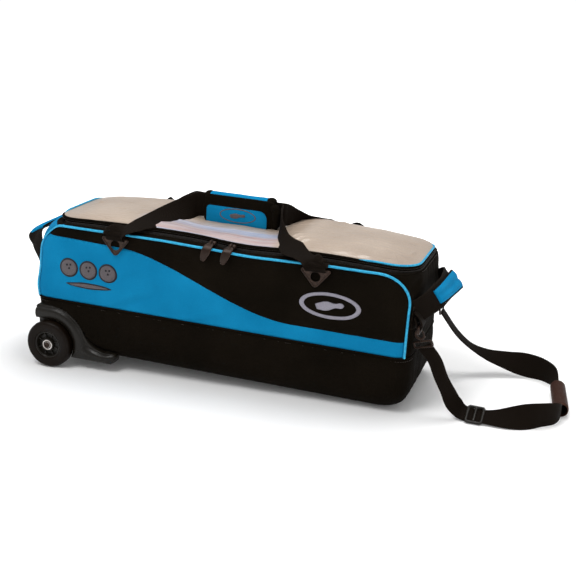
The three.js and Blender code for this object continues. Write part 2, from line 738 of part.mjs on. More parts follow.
for (const [side, place] of SIDES) {
  add(`ring_tab_${side}_left`, place(ringTab(-STRAP_X)), blackWebbing);
  add(`ring_tab_${side}_right`, place(ringTab(STRAP_X)), blackWebbing);
  add(`side_ring_${side}_left`, place(triangleRing(-STRAP_X, RING_WIRE)), darkMetal);
  add(`side_ring_${side}_right`, place(triangleRing(STRAP_X, RING_WIRE)), darkMetal);
}

add("carry_strap_front", carryStrap(), blackWebbing);
add("carry_strap_rear", mirrorY(carryStrap()), blackWebbing);
add("handle_wrap_front", wrapFlap(-WRAP_OUTER_Y, -WRAP_INNER_Y), blackFabric);
add("handle_wrap_patch", gripPatch(), blueFabric);
add("handle_wrap_rear", wrapRear(), blackFabric);

// ---------------------------------------------------------------- end handles

// The grab handle on one end: webbing that bows out from the end panel, with a padded sleeve over its
// middle.
const handleBow = [
  [HALF_LENGTH + 3.6, HANDLE_HALF_SPAN, HANDLE_Z],
  [HALF_LENGTH + 8, HANDLE_HALF_SPAN - 8, HANDLE_Z + 2],
  [HALF_LENGTH + 20, HANDLE_HALF_SPAN - 22, HANDLE_Z + 7],
  [HALF_LENGTH + 27, HANDLE_HALF_SPAN - 46, HANDLE_Z + 10],
  [HALF_LENGTH + 29, 0, HANDLE_Z + 11],
];
const handleTilt = [[0, 0, 1], [0.1, 0, 1], [0.45, 0, 0.9], [0.62, 0, 0.78], [0.62, 0, 0.78]];

function handleWebbing() {
  const half = handleBow.map(([x, y, z]) => vec(x, -y, z));
  const tilt = handleTilt.map(([x, y, z]) => vec(-x, y, z));
  const mirrored = handleBow.slice(0, -1).map(([x, y, z]) => vec(x, y, z)).reverse();
  const mirroredTilt = handleTilt.slice(0, -1).map(([x, y, z]) => vec(-x, y, z)).reverse();
  return ribbon([...half, ...mirrored], [...tilt, ...mirroredTilt], 38, { count: 24 });
}

// The sleeve lies on the outside of the webbing, so its section is set off from the webbing's line.
function handlePad() {
  const reach = HANDLE_HALF_SPAN - 30;
  const stations = [-1, -0.75, 0, 0.75, 1];
  const lift = 6.8;
  const points = stations.map((s) => {
    const drop = 4 * s * s;
    return vec(HALF_LENGTH + 29 - drop + lift * 0.78, reach * s, HANDLE_Z + 11 - drop * 0.4 + lift * 0.62);
  });
  return ribbon(points, points.map(() => vec(-0.62, 0, 0.78)), 36, { count: 10, thickness: 7 });
}

for (const [end, place] of [["left", mirrorX], ["right", (g) => g]]) {
  add(`${end}_handle_webbing`, place(handleWebbing()), blackWebbing);
  add(`${end}_handle_pad`, place(handlePad()), blueFabric);
}

// ---------------------------------------------------------------- pull strap

const RING_BELOW = 13; // from the ring's bar down to its lower bar
const HOOK_RADIUS = 8.5;
const HOOK_WIRE = 1.9;
const HOOK_LEAN = THREE.MathUtils.degToRad(22); // the hooks lean away from the bag
const EYE_HALF = 20;
const CATCH_Z = ANCHOR_Z - RING_BELOW; // lower bar of the strap ring

// Ring that hangs from the corner patch, in a plane square to X.
function strapRing(wire) {
  const half = 15;
  const low = CATCH_Z;
  const points = [
    vec(ANCHOR_X, -ANCHOR_Y - half, ANCHOR_Z), vec(ANCHOR_X, -ANCHOR_Y + half, ANCHOR_Z),
    vec(ANCHOR_X, -ANCHOR_Y + half + 1.5, ANCHOR_Z - 3), vec(ANCHOR_X, -ANCHOR_Y + half, low + 6),
    vec(ANCHOR_X, -ANCHOR_Y + half - 6, low), vec(ANCHOR_X, -ANCHOR_Y - half + 6, low),
    vec(ANCHOR_X, -ANCHOR_Y - half, low + 6), vec(ANCHOR_X, -ANCHOR_Y - half - 1.5, ANCHOR_Z - 3),
  ];
  return wireLoop(points, vec(1, 0, 0), wire, 8);
}

// Webbing patch sewn round the upright corner, with a thick fold that holds the ring's bar.
function cornerPatch() {
  const grown = (by) => loft(upperOuter.slice(0, 4).map((s) => at(s.z, s.x + by, s.y + by, s.r + by)));
  const side = -HANDLE_HALF_SPAN - 5;
  const region = box(HALF_LENGTH - 7, HALF_LENGTH + 20, -HALF_DEPTH - 20, side, ANCHOR_Z, ANCHOR_Z + 69);
  const patch = common(cut(grown(3.6), grown(0.5)), region);
  const half = 11;
  const fold = box(
    HALF_LENGTH + 0.8, ANCHOR_X + 4.5, -ANCHOR_Y - half, -ANCHOR_Y + half, ANCHOR_Z - 4, ANCHOR_Z + 9,
  );
  const barHole = new THREE.CylinderGeometry(RING_WIRE + 0.7, RING_WIRE + 0.7, 60, 12)
    .translate(ANCHOR_X, -ANCHOR_Y, ANCHOR_Z);
  const flapY = -HALF_DEPTH + 9; // the webbing's free end stands out past the corner
  const flap = box(HALF_LENGTH - 6.5, HALF_LENGTH + 40, flapY, flapY + 4.5, ANCHOR_Z + 6, ANCHOR_Z + 50);
  return cut(join(patch, fold, flap), barHole);
}

// The hook's loop lies in X and Z round the ring's lower bar. Built upright, then leaned about that bar.
const hookCentreZ = CATCH_Z - HOOK_RADIUS + HOOK_WIRE + RING_WIRE + 0.4;
const NECK = 7; // swivel between the loop and the eye
const EYE_TALL = 11;
const GATE_ANGLE = 0.86; // the mouth spans this much either side of the loop's outer point
const leaned = (geometry) =>
  geometry.translate(-ANCHOR_X, 0, -CATCH_Z).rotateY(-HOOK_LEAN).translate(ANCHOR_X, 0, CATCH_Z);

const onLoop = (angle) =>
  vec(ANCHOR_X + HOOK_RADIUS * Math.cos(angle), -ANCHOR_Y, hookCentreZ + HOOK_RADIUS * Math.sin(angle));

// eyeAcross is the direction of the webbing's width where it passes through the eye.
function snapHook(eyeAcross) {
  const turns = 14;
  const from = GATE_ANGLE + 0.1;
  const arc = Array.from({ length: turns + 1 }, (_, k) =>
    onLoop(from + (k / turns) * (2 * Math.PI - 2 * from + 0.3)));
  const jaw = sweep(arc, arc.map(() => vec(0, 1, 0)), disc(HOOK_WIRE, 6));
  const neckTop = hookCentreZ - HOOK_RADIUS;
  const neck = new THREE.CylinderGeometry(3.4, 3.4, NECK, 10).rotateX(Math.PI / 2)
    .translate(ANCHOR_X, -ANCHOR_Y, neckTop - NECK / 2);
  const eyeTop = neckTop - NECK + 1;
  const normal = eyeAcross.clone().cross(vec(0, 0, 1));
  const corner = (side, down) => vec(ANCHOR_X, -ANCHOR_Y, eyeTop - down).addScaledVector(eyeAcross, side);
  const eye = wireLoop([
    corner(-EYE_HALF, 2), corner(-EYE_HALF + 4, 0), corner(EYE_HALF - 4, 0), corner(EYE_HALF, 2),
    corner(EYE_HALF, EYE_TALL - 2), corner(EYE_HALF - 3, EYE_TALL),
    corner(-EYE_HALF + 3, EYE_TALL), corner(-EYE_HALF, EYE_TALL - 2),
  ], normal, 1.9);
  return leaned(join(jaw, neck, eye));
}

function hookGate() {
  const low = onLoop(-GATE_ANGLE + 0.4).add(vec(-0.6, 0, 0));
  const high = onLoop(GATE_ANGLE - 0.22).add(vec(-0.6, 0, 0));
  return leaned(sweep([low, high], [vec(0, 1, 0), vec(0, 1, 0)], disc(1.5, 6)));
}

add("corner_patch_front", cornerPatch(), blackWebbing);
add("corner_patch_rear", mirrorY(cornerPatch()), blackWebbing);
add("strap_ring_front", strapRing(RING_WIRE), darkMetal);
add("strap_ring_rear", mirrorY(strapRing(RING_WIRE)), darkMetal);
add("snap_hook_front", snapHook(vec(1, 0, 0)), darkMetal);
add("snap_hook_rear", mirrorY(snapHook(vec(0, 1, 0))), darkMetal);
add("hook_gate_front", hookGate(), darkMetal);
add("hook_gate_rear", mirrorY(hookGate()), darkMetal);

// Grip: a tube that lies on the floor across the loop's far end.
const GRIP_RADIUS = 15;
const GRIP_NEAR = vec(690, -32, 0);
const GRIP_FAR = vec(674, 88, 0);
const WEB_WIDE = 50;
const overFloor = (x, y, height) => vec(x, y, floorZ(x) + height);
const GLIDE_FROM = vec(512, -100, 0);
const GLIDE_TO = vec(560, -104, 0);
const hookEnd = leaned(new THREE.BufferGeometry().setFromPoints([
  vec(ANCHOR_X, -ANCHOR_Y, hookCentreZ - HOOK_RADIUS - NECK + 1 - EYE_TALL - 4.5),
]));
const webStart = vec(hookEnd.attributes.position.getX(0), -ANCHOR_Y, hookEnd.attributes.position.getZ(0));

function pullStrap() {
  const half = WEB_WIDE / 2;
  const near = [
    [webStart, vec(1, 0, 0.4), 0.7],
    [vec(webStart.x + 15, -ANCHOR_Y, 106), vec(0.95, -0.2, 0.4), 0.72],
    [vec(webStart.x + 29, -ANCHOR_Y, 76), vec(0.9, -0.2, 0.45), 0.72],
    [vec(webStart.x + 47, -109, 50), vec(0.7, 0, 0.7), 0.72],
    [vec(webStart.x + 66, -104, 31), vec(0.3, 0, 0.95), 0.72],
    [overFloor(GLIDE_FROM.x, GLIDE_FROM.y, half - 5), vec(0, 0, 1), 0.72],
    [overFloor(GLIDE_TO.x, GLIDE_TO.y, half - 4), vec(0, 0, 1), 0.78],
    [overFloor(610, -104, half + 1), vec(0, 0, 1), 1],
    [overFloor(655, -92, half + 1), vec(0, 0, 1), 1],
    [overFloor(684, -68, half - 3), vec(0, 0, 1), 0.8],
  ];
  const inGrip = [0, 0.35, 0.65, 1].map((t) => {
    const spot = GRIP_NEAR.clone().lerp(GRIP_FAR, t);
    return [overFloor(spot.x, spot.y, GRIP_RADIUS + 1), vec(0, 0, 1), 0.42];
  });
  const far = [
    [overFloor(662, 118, half - 2), vec(0, 0, 1), 0.85],
    [overFloor(638, 140, half + 2), vec(0, 0, 1), 1],
    [overFloor(596, 150, half + 5), vec(0, 0.1, 1), 1],
    [overFloor(556, 148, half + 12), vec(0, 0.4, 0.9), 0.9],
    [overFloor(518, 138, 54), vec(0, 0.85, 0.5), 0.8],
    [vec(484, 126, 78), vec(0, 1, 0.1), 0.72],
    [vec(458, 118, 104), vec(0, 1, 0), 0.7],
    [vec(webStart.x, ANCHOR_Y, webStart.z), vec(0, 1, 0), 0.7],
  ];
  const all = [...near, ...inGrip, ...far];
  const widths = all.map((stop) => stop[2]);
  const scale = (t) => {
    const place = t * (widths.length - 1);
    const k = Math.min(Math.floor(place), widths.length - 2);
    return THREE.MathUtils.lerp(widths[k], widths[k + 1], place - k);
  };
  return ribbon(all.map((s) => s[0]), all.map((s) => s[1]), WEB_WIDE, { count: 72, scale });
}

function grip() {
  const a = overFloor(GRIP_NEAR.x, GRIP_NEAR.y, GRIP_RADIUS + 1);
  const b = overFloor(GRIP_FAR.x, GRIP_FAR.y, GRIP_RADIUS + 1);
  const reach = b.clone().sub(a);
  const length = reach.length();
  const profile = [[12.9, 0], [GRIP_RADIUS - 1.5, 0], [GRIP_RADIUS, 2], [GRIP_RADIUS, length - 2],
    [GRIP_RADIUS - 1.5, length], [12.9, length], [12.9, 0]];
  const turn = new THREE.Quaternion().setFromUnitVectors(vec(0, 1, 0), reach.normalize());
  return new THREE.LatheGeometry(profile.map(([r, l]) => new THREE.Vector2(r, l)), 20)
    .applyQuaternion(turn)
    .translate(a.x, a.y, a.z);
}

function glide() {
  const a = overFloor(GLIDE_FROM.x, GLIDE_FROM.y, WEB_WIDE / 2 - 5);
  const b = overFloor(GLIDE_TO.x, GLIDE_TO.y, WEB_WIDE / 2 - 4);
  const centre = a.clone().lerp(b, 0.5);
  const yaw = Math.atan2(b.y - a.y, b.x - a.x);
  const outer = new THREE.BoxGeometry(26, 9, 48);
  const slot = new THREE.BoxGeometry(40, 4.6, 41);
  return cut(outer, slot).rotateZ(yaw).translate(centre.x, centre.y, centre.z);
}

add("pull_strap_webbing", pullStrap(), blackWebbing);
add("tri_glide", glide(), blackPlastic);
add("pull_grip", grip(), gripRubber);

export default bag;
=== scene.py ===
"""Rolling bowling bag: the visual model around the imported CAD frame.

Lengths are millimetres until a mesh is made. The frame is the CAD's: +Z up, +X towards the pull strap,
-Y towards the front panel, with the origin at the middle of the base's underside.
"""

import math

import bmesh
import bpy
import numpy as np
from mathutils import Matrix, Vector


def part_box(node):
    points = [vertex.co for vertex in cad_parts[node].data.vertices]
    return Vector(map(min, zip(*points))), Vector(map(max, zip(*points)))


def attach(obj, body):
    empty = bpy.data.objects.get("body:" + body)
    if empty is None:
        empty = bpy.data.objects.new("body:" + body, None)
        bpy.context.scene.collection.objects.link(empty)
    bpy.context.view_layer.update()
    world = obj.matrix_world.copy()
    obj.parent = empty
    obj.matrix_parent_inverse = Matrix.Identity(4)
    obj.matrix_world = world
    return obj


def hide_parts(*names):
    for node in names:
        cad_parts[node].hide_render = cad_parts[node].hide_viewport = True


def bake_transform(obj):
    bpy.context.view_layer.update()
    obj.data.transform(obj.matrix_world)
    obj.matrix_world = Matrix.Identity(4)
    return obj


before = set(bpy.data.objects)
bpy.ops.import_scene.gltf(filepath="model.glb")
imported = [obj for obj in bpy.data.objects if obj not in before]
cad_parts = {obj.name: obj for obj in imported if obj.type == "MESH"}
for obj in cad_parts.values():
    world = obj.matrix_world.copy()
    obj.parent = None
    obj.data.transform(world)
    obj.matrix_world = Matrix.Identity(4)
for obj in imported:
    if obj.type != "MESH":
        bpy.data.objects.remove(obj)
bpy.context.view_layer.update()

MM = 0.001


def box_mm(node):
    """Lowest and highest corner of a CAD node, in millimetres."""
    low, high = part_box(node)
    return np.array(low) / MM, np.array(high) / MM


# ------------------------------------------------------------------ sizes taken from the frame

tub_low, tub_high = box_mm("base_tub")
HALF_LENGTH = tub_high[0]
HALF_DEPTH = tub_high[1]
SEAM_Z = tub_high[2]
panel_high = box_mm("rear_panel")[1]
PANEL_HALF = panel_high[0]
PANEL_TOP = panel_high[2]
PANEL_CORNER = 60
lid_low, lid_high = box_mm("lid_band")
LID_X = (lid_low[0] + lid_high[0]) / 2
LID_HALF = (lid_high[0] - lid_low[0]) / 2
LID_DEPTH = lid_high[1]
LID_CORNER = 56
LID_TOP = lid_high[2] + 1
RIM_Z = box_mm("top_gusset")[1][2]
tyre_low, tyre_high = box_mm("wheel_tyre_front")
WHEEL_X = (tyre_low[0] + tyre_high[0]) / 2
WHEEL_Z = (tyre_low[2] + tyre_high[2]) / 2
WHEEL_R = (tyre_high[2] - tyre_low[2]) / 2
WHEEL_OUT = -tyre_low[1]
WHEEL_IN = -tyre_high[1]
FLOOR_TOUCH_X = 358  # where the far lower edge of the base touches the floor
FLOOR_SLOPE = (WHEEL_R - WHEEL_Z) / (FLOOR_TOUCH_X - WHEEL_X)


def floor_z(x):
    """Height of the floor, which tilts because the bag stands on its wheels and on that far edge."""
    return (x - FLOOR_TOUCH_X) * FLOOR_SLOPE


# ------------------------------------------------------------------ mesh helpers


def unit(v):
    """Vectors scaled to length one."""
    return v / np.maximum(np.linalg.norm(v, axis=-1, keepdims=True), 1e-9)


def smoothstep(x, low, high):
    """A soft step from 0 at low to 1 at high."""
    t = np.clip((x - low) / (high - low), 0, 1)
    return t * t * (3 - 2 * t)


def bell(x, middle, width):
    """A smooth hump of height 1 round a middle."""
    return np.exp(-(((x - middle) / width) ** 2))


def full_turn(count):
    """Angles once round, evenly spaced."""
    return np.arange(count) / count * 2 * np.pi


def squarish(values, power):
    """A power that keeps the sign; below 1 it squares off a sine or cosine."""
    return np.sign(values) * np.abs(values) ** power


def quads(rows, cols, loop_rows=False, loop_cols=False, start=0):
    """Faces of a grid of points stored row by row."""
    i = np.arange(rows if loop_rows else rows - 1)
    j = np.arange(cols if loop_cols else cols - 1)
    a, b = np.meshgrid(i, j, indexing="ij")
    a2 = (a + 1) % rows
    b2 = (b + 1) % cols
    faces = np.stack([a * cols + b, a * cols + b2, a2 * cols + b2, a2 * cols + b], -1)
    return (faces.reshape(-1, 4) + start).tolist()


def grid_normals(grid, inside, loop_cols=False):
    """Unit normals of a grid, pointing away from the inside point."""
    along = np.gradient(grid, axis=0)
    if loop_cols:
        across = (np.roll(grid, -1, 1) - np.roll(grid, 1, 1)) / 2
    else:
        across = np.gradient(grid, axis=1)
    n = unit(np.cross(across, along))
    return n if ((grid - np.array(inside)) * n).sum() > 0 else -n


def slab(outer, thickness, inside=(0, 0, 150), loop_cols=False):
    """A closed sheet: the outer grid, the same grid moved in by the thickness, and the rim between them."""
    inner = outer - grid_normals(outer, inside, loop_cols) * thickness
    rows, cols = outer.shape[:2]
    count = rows * cols
    faces = quads(rows, cols, loop_cols=loop_cols)
    faces += quads(rows, cols, loop_cols=loop_cols, start=count)
    index = np.arange(count).reshape(rows, cols)
    if loop_cols:
        rims = [np.append(index[0], index[0][0]), np.append(index[-1], index[-1][0])]
    else:
        rims = [np.concatenate([index[0], index[1:, -1], index[-1, -2::-1], index[-2::-1, 0]])]
    for rim in rims:
        faces += [[int(a), int(b), int(b) + count, int(a) + count] for a, b in zip(rim, rim[1:])]
    return np.concatenate([outer.reshape(-1, 3), inner.reshape(-1, 3)]), faces


def grid_part(grid, loop_rows=False, loop_cols=False, capped=False):
    """The mesh of a grid of points as (points, faces); capped closes its first and its last row."""
    rows, cols = grid.shape[:2]
    faces = quads(rows, cols, loop_rows=loop_rows, loop_cols=loop_cols)
    if capped:
        faces += [list(range(cols)), list(range((rows - 1) * cols, rows * cols))]
    return grid.reshape(-1, 3), faces


def merge(parts):
    """Several (points, faces) as one."""
    points, faces, start = [], [], 0
    for p, f in parts:
        points.append(np.asarray(p, float))
        faces += [[i + start for i in face] for face in f]
        start += len(p)
    return np.concatenate(points), faces


def mirror(part, axis):
    """A part flipped to the other side of the middle of the bag, along one axis."""
    points, faces = part
    flip = np.ones(3)
    flip[axis] = -1
    return np.asarray(points) * flip, faces


def both_sides():
    """Front, then rear: the side's name, what puts a part drawn for the front there, and its sign of Y."""
    yield "front", lambda part: part, -1
    yield "rear", lambda part: mirror(part, 1), 1


def spline(knots, count):
    """Points along a centripetal Catmull-Rom curve through the knots, at even spacing."""
    k = np.asarray(knots, float)
    k = np.concatenate([[2 * k[0] - k[1]], k, [2 * k[-1] - k[-2]]])
    gaps = np.maximum(np.sqrt(np.linalg.norm(np.diff(k[:, :3], axis=0), axis=1)), 1e-6)
    t = np.concatenate([[0], np.cumsum(gaps)])
    dense = []
    for i in range(1, len(k) - 2):
        s = np.linspace(t[i], t[i + 1], 24, endpoint=i == len(k) - 3)[:, None]
        a1 = ((t[i] - s) * k[i - 1] + (s - t[i - 1]) * k[i]) / (t[i] - t[i - 1])
        a2 = ((t[i + 1] - s) * k[i] + (s - t[i]) * k[i + 1]) / (t[i + 1] - t[i])
        a3 = ((t[i + 2] - s) * k[i + 1] + (s - t[i + 1]) * k[i + 2]) / (t[i + 2] - t[i + 1])
        b1 = ((t[i + 1] - s) * a1 + (s - t[i - 1]) * a2) / (t[i + 1] - t[i - 1])
        b2 = ((t[i + 2] - s) * a2 + (s - t[i]) * a3) / (t[i + 2] - t[i])
        dense.append(((t[i + 1] - s) * b1 + (s - t[i]) * b2) / (t[i + 1] - t[i]))
    return resample(np.concatenate(dense), count)


def resample(line, count):
    """The same line with evenly spaced points; columns after the third are carried along."""
    line = np.asarray(line, float)
    length = np.concatenate([[0], np.cumsum(np.linalg.norm(np.diff(line[:, :3], axis=0), axis=1))])
    at = np.linspace(0, length[-1], count)
    return np.stack([np.interp(at, length, line[:, c]) for c in range(line.shape[1])], -1)


def frames(path, across, loop=False):
    """Two unit vectors square to the path at each point; the first lies nearest to across."""
    if loop:
        along = unit(np.roll(path, -1, 0) - np.roll(path, 1, 0))
    else:
        along = unit(np.gradient(path, axis=0))
    across = np.broadcast_to(np.asarray(across, float), path.shape)
    first = unit(across - (across * along).sum(-1, keepdims=True) * along)
    return first, np.cross(along, first)


def sweep(path, across, section, loop=False, wide=1.0, thick=1.0):
    """Carries a closed flat section along a path; wide and thick stretch it, evenly or point by point."""
    first, second = frames(path, across, loop)
    wide, thick = (np.broadcast_to(factor, len(path))[:, None] for factor in (wide, thick))
    grid = (
        path[:, None]
        + first[:, None] * (section[:, 0] * wide)[..., None]
        + second[:, None] * (section[:, 1] * thick)[..., None]
    )
    return grid_part(grid, loop_rows=loop, loop_cols=True, capped=not loop)


def ellipse(cx, cz, rx, rz, count=40):
    """Points once round an ellipse."""
    a = full_turn(count)
    return np.stack([cx + rx * np.cos(a), cz + rz * np.sin(a)], -1)


def circle(radius, sides=10):
    """Points once round a circle about the origin."""
    return ellipse(0, 0, radius, radius, sides)


def arc_points(cx, cz, radius, start, end, count=14):
    """Points along an arc between two angles in degrees."""
    a = np.radians(np.linspace(start, end, count))
    return np.stack([cx + radius * np.cos(a), cz + radius * np.sin(a)], -1)


def rounded_strip(width, thickness, steps=3):
    """Section of webbing: flat with rounded edges."""
    r = thickness / 2
    a = np.linspace(-np.pi / 2, np.pi / 2, steps + 2)
    right = np.stack([width / 2 - r + r * np.cos(a), r * np.sin(a)], -1)
    flat = np.linspace(width / 2 - r, -width / 2 + r, 9)[1:-1]
    top = np.stack([flat, np.full_like(flat, r)], -1)
    return np.concatenate([right, top, -right, -top])


def upright(outline, y):
    """An outline drawn in X and Z, stood up at a distance Y."""
    return np.stack([outline[:, 0], np.broadcast_to(y, len(outline)), outline[:, 1]], -1)


def tube(path, radius, sides=10, loop=False, up=(0, 1, 0)):
    """A round cord along a path."""
    return sweep(np.asarray(path, float), up, circle(radius, sides), loop)


def ribbon(line, width, thickness, wide=1.0):
    """Webbing along points of (x, y, z, and the direction of its width as three numbers)."""
    return sweep(line[:, :3], unit(line[:, 3:6]), rounded_strip(width, thickness), wide=wide)


def lathe(profile, segments=64, centre=(0, 0, 0)):
    """Turns (radius, distance out along -Y) pairs about the Y axis through the centre."""
    radius, out = np.array(profile, float).T[:, :, None]
    a = full_turn(segments)
    grid = np.stack([radius * np.cos(a), np.repeat(-out, segments, 1), radius * np.sin(a)], -1)
    return grid_part(grid + np.array(centre), loop_rows=True, loop_cols=True)


def ring_of(length, depth, radius, z, cx=0.0, long_steps=130, short_steps=40):
    """A rounded rectangle of points at one height, counter-clockwise from the +X +Y corner."""
    x, y = length - radius, depth - radius
    corners = [
        arc_points(cx + sx * x, sy * y, radius, 90 * quarter, 90 * quarter + 90, 11)
        for quarter, (sx, sy) in enumerate(((1, 1), (-1, 1), (-1, -1), (1, -1)))
    ]
    line = []
    for quarter in range(4):
        a = corners[quarter][-1]
        b = corners[(quarter + 1) % 4][0]
        steps = long_steps if quarter % 2 == 0 else short_steps
        t = np.arange(1, steps)[:, None] / steps
        line += [corners[quarter], a + (b - a) * t]
    xy = np.concatenate(line)
    return np.concatenate([xy, np.full((len(xy), 1), z)], 1)


def waves(x, z, seed, size, count=9):
    """Smooth undulation between about -1 and 1, from a few seeded sine waves of about one size."""
    rng = np.random.default_rng(seed)
    total = 0
    for _ in range(count):
        angle = rng.uniform(0, np.pi)
        k = 2 * np.pi / (size * rng.uniform(0.6, 1.7))
        total = total + np.sin(k * (x * math.cos(angle) + z * math.sin(angle)) + rng.uniform(0, 7))
    return total / math.sqrt(count) / 1.5


def fold(x, z, a, b, width, height):
    """A soft ridge along the line from a to b, fading at its ends."""
    a = np.array(a, float)
    d = np.array(b, float) - a
    t = ((x - a[0]) * d[0] + (z - a[1]) * d[1]) / (d @ d)
    off = ((x - a[0]) * d[1] - (z - a[1]) * d[0]) / math.sqrt(d @ d)
    fade = smoothstep(t, -0.2, 0.3) * smoothstep(1.2 - t, 0, 0.5)
    return height * bell(off, 0, width) * fade


def settle(points):
    """How the soft bag has settled.

    The wheel end bellies out low down, its upper corner rounds in under the lid, and the top edge sags
    between the straps.
    """
    x, y, z = np.moveaxis(np.array(points, float), -1, 0)
    belly = 6 * smoothstep(-x, 290, HALF_LENGTH) * bell(z, 142, 28)
    rise = np.clip((z - 218) / 66, 0, 1)
    rounded = (1 - np.sqrt(1 - rise**2)) * (1 - smoothstep(z, PANEL_TOP + 0.5, RIM_Z))
    belly = belly - 42 * rounded * smoothstep(-x, 335, 400)
    sag = 5 * bell(x, 80, 110) * smoothstep(-y, 60, 130)
    sag = sag * smoothstep(z, 215, 280) * (1 - smoothstep(z, 303, 325))
    return np.stack([x - belly, y, z - sag], -1)


def make(name, part, look, body=None, replaces=(), sharp=None):
    """Makes a smooth mesh object from points in millimetres, facing out, and rides it on a body."""
    points, faces = part
    data = bpy.data.meshes.new(name)
    data.from_pydata((settle(points) * MM).tolist(), [], faces)
    shape = bmesh.new()
    shape.from_mesh(data)
    bmesh.ops.recalc_face_normals(shape, faces=shape.faces)
    shape.to_mesh(data)
    shape.free()
    data.shade_smooth()
    if sharp:
        data.set_sharp_from_angle(angle=math.radians(sharp))
    data.materials.append(look)
    obj = bpy.data.objects.new(name, data)
    bpy.context.scene.collection.objects.link(obj)
    if body:
        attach(obj, body)
    if replaces:
        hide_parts(*replaces)
    return obj


# ------------------------------------------------------------------ materials


class Look:
    """Builds one procedural material round a Principled shader. Texture scales are per metre."""

    def __init__(self, name, slot, roughness, **inputs):
        self.material = bpy.data.materials.new(name)
        self.material.use_nodes = True
        self.material["slot"] = slot
        self.nodes = self.material.node_tree.nodes
        self.links = self.material.node_tree.links
        self.shader = self.nodes["Principled BSDF"]
        self.shader.inputs["Roughness"].default_value = roughness
        for key, value in inputs.items():
            self.shader.inputs[key.replace("_", " ")].default_value = value
        self.where = self.add("ShaderNodeTexCoord").outputs["Object"]

    def add(self, kind, **settings):
        node = self.nodes.new(kind)
        for key, value in settings.items():
            if hasattr(node, key):
                setattr(node, key, value)
            else:
                self.plug(node.inputs[key.replace("_", " ")], value)
        return node

    def plug(self, socket, value):
        if isinstance(value, bpy.types.NodeSocket):
            self.links.new(value, socket)
        else:
            socket.default_value = value

    def noise(self, scale, detail=3.0, stretch=(1, 1, 1)):
        placed = self.add("ShaderNodeMapping", Vector=self.where, Scale=stretch)
        made = self.add("ShaderNodeTexNoise", Vector=placed.outputs[0], Scale=scale, Detail=detail)
        return made.outputs["Fac"]

    def threads(self, axis, pitch):
        """Bands across one axis, one per thread."""
        made = self.add("ShaderNodeTexWave", Vector=self.where, Scale=2 * math.pi / (20 * pitch * MM))
        made.bands_direction = axis
        return made.outputs["Fac"]

    def maths(self, operation, a, b=0.0):
        node = self.add("ShaderNodeMath", operation=operation)
        self.plug(node.inputs[0], a)
        self.plug(node.inputs[1], b)
        return node.outputs[0]

    def ramp(self, value, low, high, out_low=0.0, out_high=1.0):
        node = self.add("ShaderNodeMapRange")
        for socket, v in zip(node.inputs, (value, low, high, out_low, out_high)):
            self.plug(socket, v)
        return node.outputs[0]

    def mix(self, share, a, b):
        node = self.add("ShaderNodeMix", data_type="RGBA")
        self.plug(node.inputs["Factor"], share)
        self.plug(node.inputs[6], (*a, 1) if isinstance(a, tuple) else a)
        self.plug(node.inputs[7], (*b, 1) if isinstance(b, tuple) else b)
        return node.outputs[2]

    def color(self, socket):
        self.links.new(socket, self.shader.inputs["Base Color"])
        return self

    def rough(self, socket):
        self.links.new(socket, self.shader.inputs["Roughness"])
        return self

    def bump(self, height, depth_mm, strength=1.0):
        node = self.add("ShaderNodeBump", Height=height, Distance=depth_mm * MM, Strength=strength)
        self.links.new(node.outputs[0], self.shader.inputs["Normal"])
        return self

    def edge_wear_and_highlight(self, under, worn_and_highlit, amount=0.5):
        """Mixes a lighter colour into sharp outside edges, in scuffed patches: partly wear, partly a painted
        highlight.
        """
        point = self.add("ShaderNodeNewGeometry").outputs["Pointiness"]
        scuffs = self.ramp(self.noise(220), 0.42, 0.6)
        share = self.maths("MULTIPLY", self.ramp(point, 0.52, 0.6), scuffs)
        return self.mix(self.maths("MULTIPLY", share, amount), under, worn_and_highlit)


def woven(name, slot, dark, light, pitch=1.1, depth=0.25, grain=0.35):
    """Plain-weave cloth: threads along all three axes, thread-to-thread variation and slow fading."""
    look = Look(name, slot, 0.85, Sheen_Weight=0.004, Sheen_Roughness=0.5, Specular_IOR_Level=0.03)
    crossing = look.maths("ADD", look.threads("X", pitch), look.threads("Z", pitch))
    crossing = look.maths("ADD", crossing, look.threads("Y", pitch))
    speckle = look.noise(1.0 / (pitch * MM) * 0.8, detail=2)
    height = look.maths("ADD", look.maths("MULTIPLY", crossing, 0.33), look.maths("MULTIPLY", speckle, 0.8))
    slow = look.ramp(look.noise(9, detail=4), 0.3, 0.7)
    share = look.maths("MULTIPLY", look.ramp(speckle, 0.3, 0.7), grain)
    share = look.maths("ADD", share, look.maths("MULTIPLY", slow, 1 - grain))
    # Lighter colour for sharp edges: partly wear, partly a painted highlight.
    worn_and_highlit = tuple(min(1, 1.5 * c + 0.003) for c in light)
    look.color(look.edge_wear_and_highlight(look.mix(share, dark, light), worn_and_highlit, 0.4))
    look.bump(height, depth)
    return look.material


def webbing(name, slot, dark, light):
    """Flat woven webbing with fine diagonal ribs."""
    look = Look(name, slot, 0.7, Sheen_Weight=0.004, Specular_IOR_Level=0.05)
    turned = look.add("ShaderNodeMapping", Vector=look.where, Rotation=(0.5, 0.6, 0.7)).outputs[0]
    ribs = look.add("ShaderNodeTexWave", Vector=turned, Scale=2 * math.pi / (20 * 1.6 * MM)).outputs["Fac"]
    crossing = look.maths("ADD", look.threads("X", 1.3), look.threads("Z", 1.3))
    speckle = look.noise(900, detail=2)
    height = look.maths("ADD", look.maths("ADD", ribs, crossing), speckle)
    slow = look.maths("MULTIPLY", look.noise(14), 0.4)
    share = look.maths("ADD", look.maths("MULTIPLY", speckle, 0.5), slow)
    # The edge colour is lighter: partly wear, partly a painted highlight.
    look.color(look.edge_wear_and_highlight(look.mix(share, dark, light), (0.035, 0.026, 0.020), 0.5))
    look.bump(height, 0.2)
    return look.material


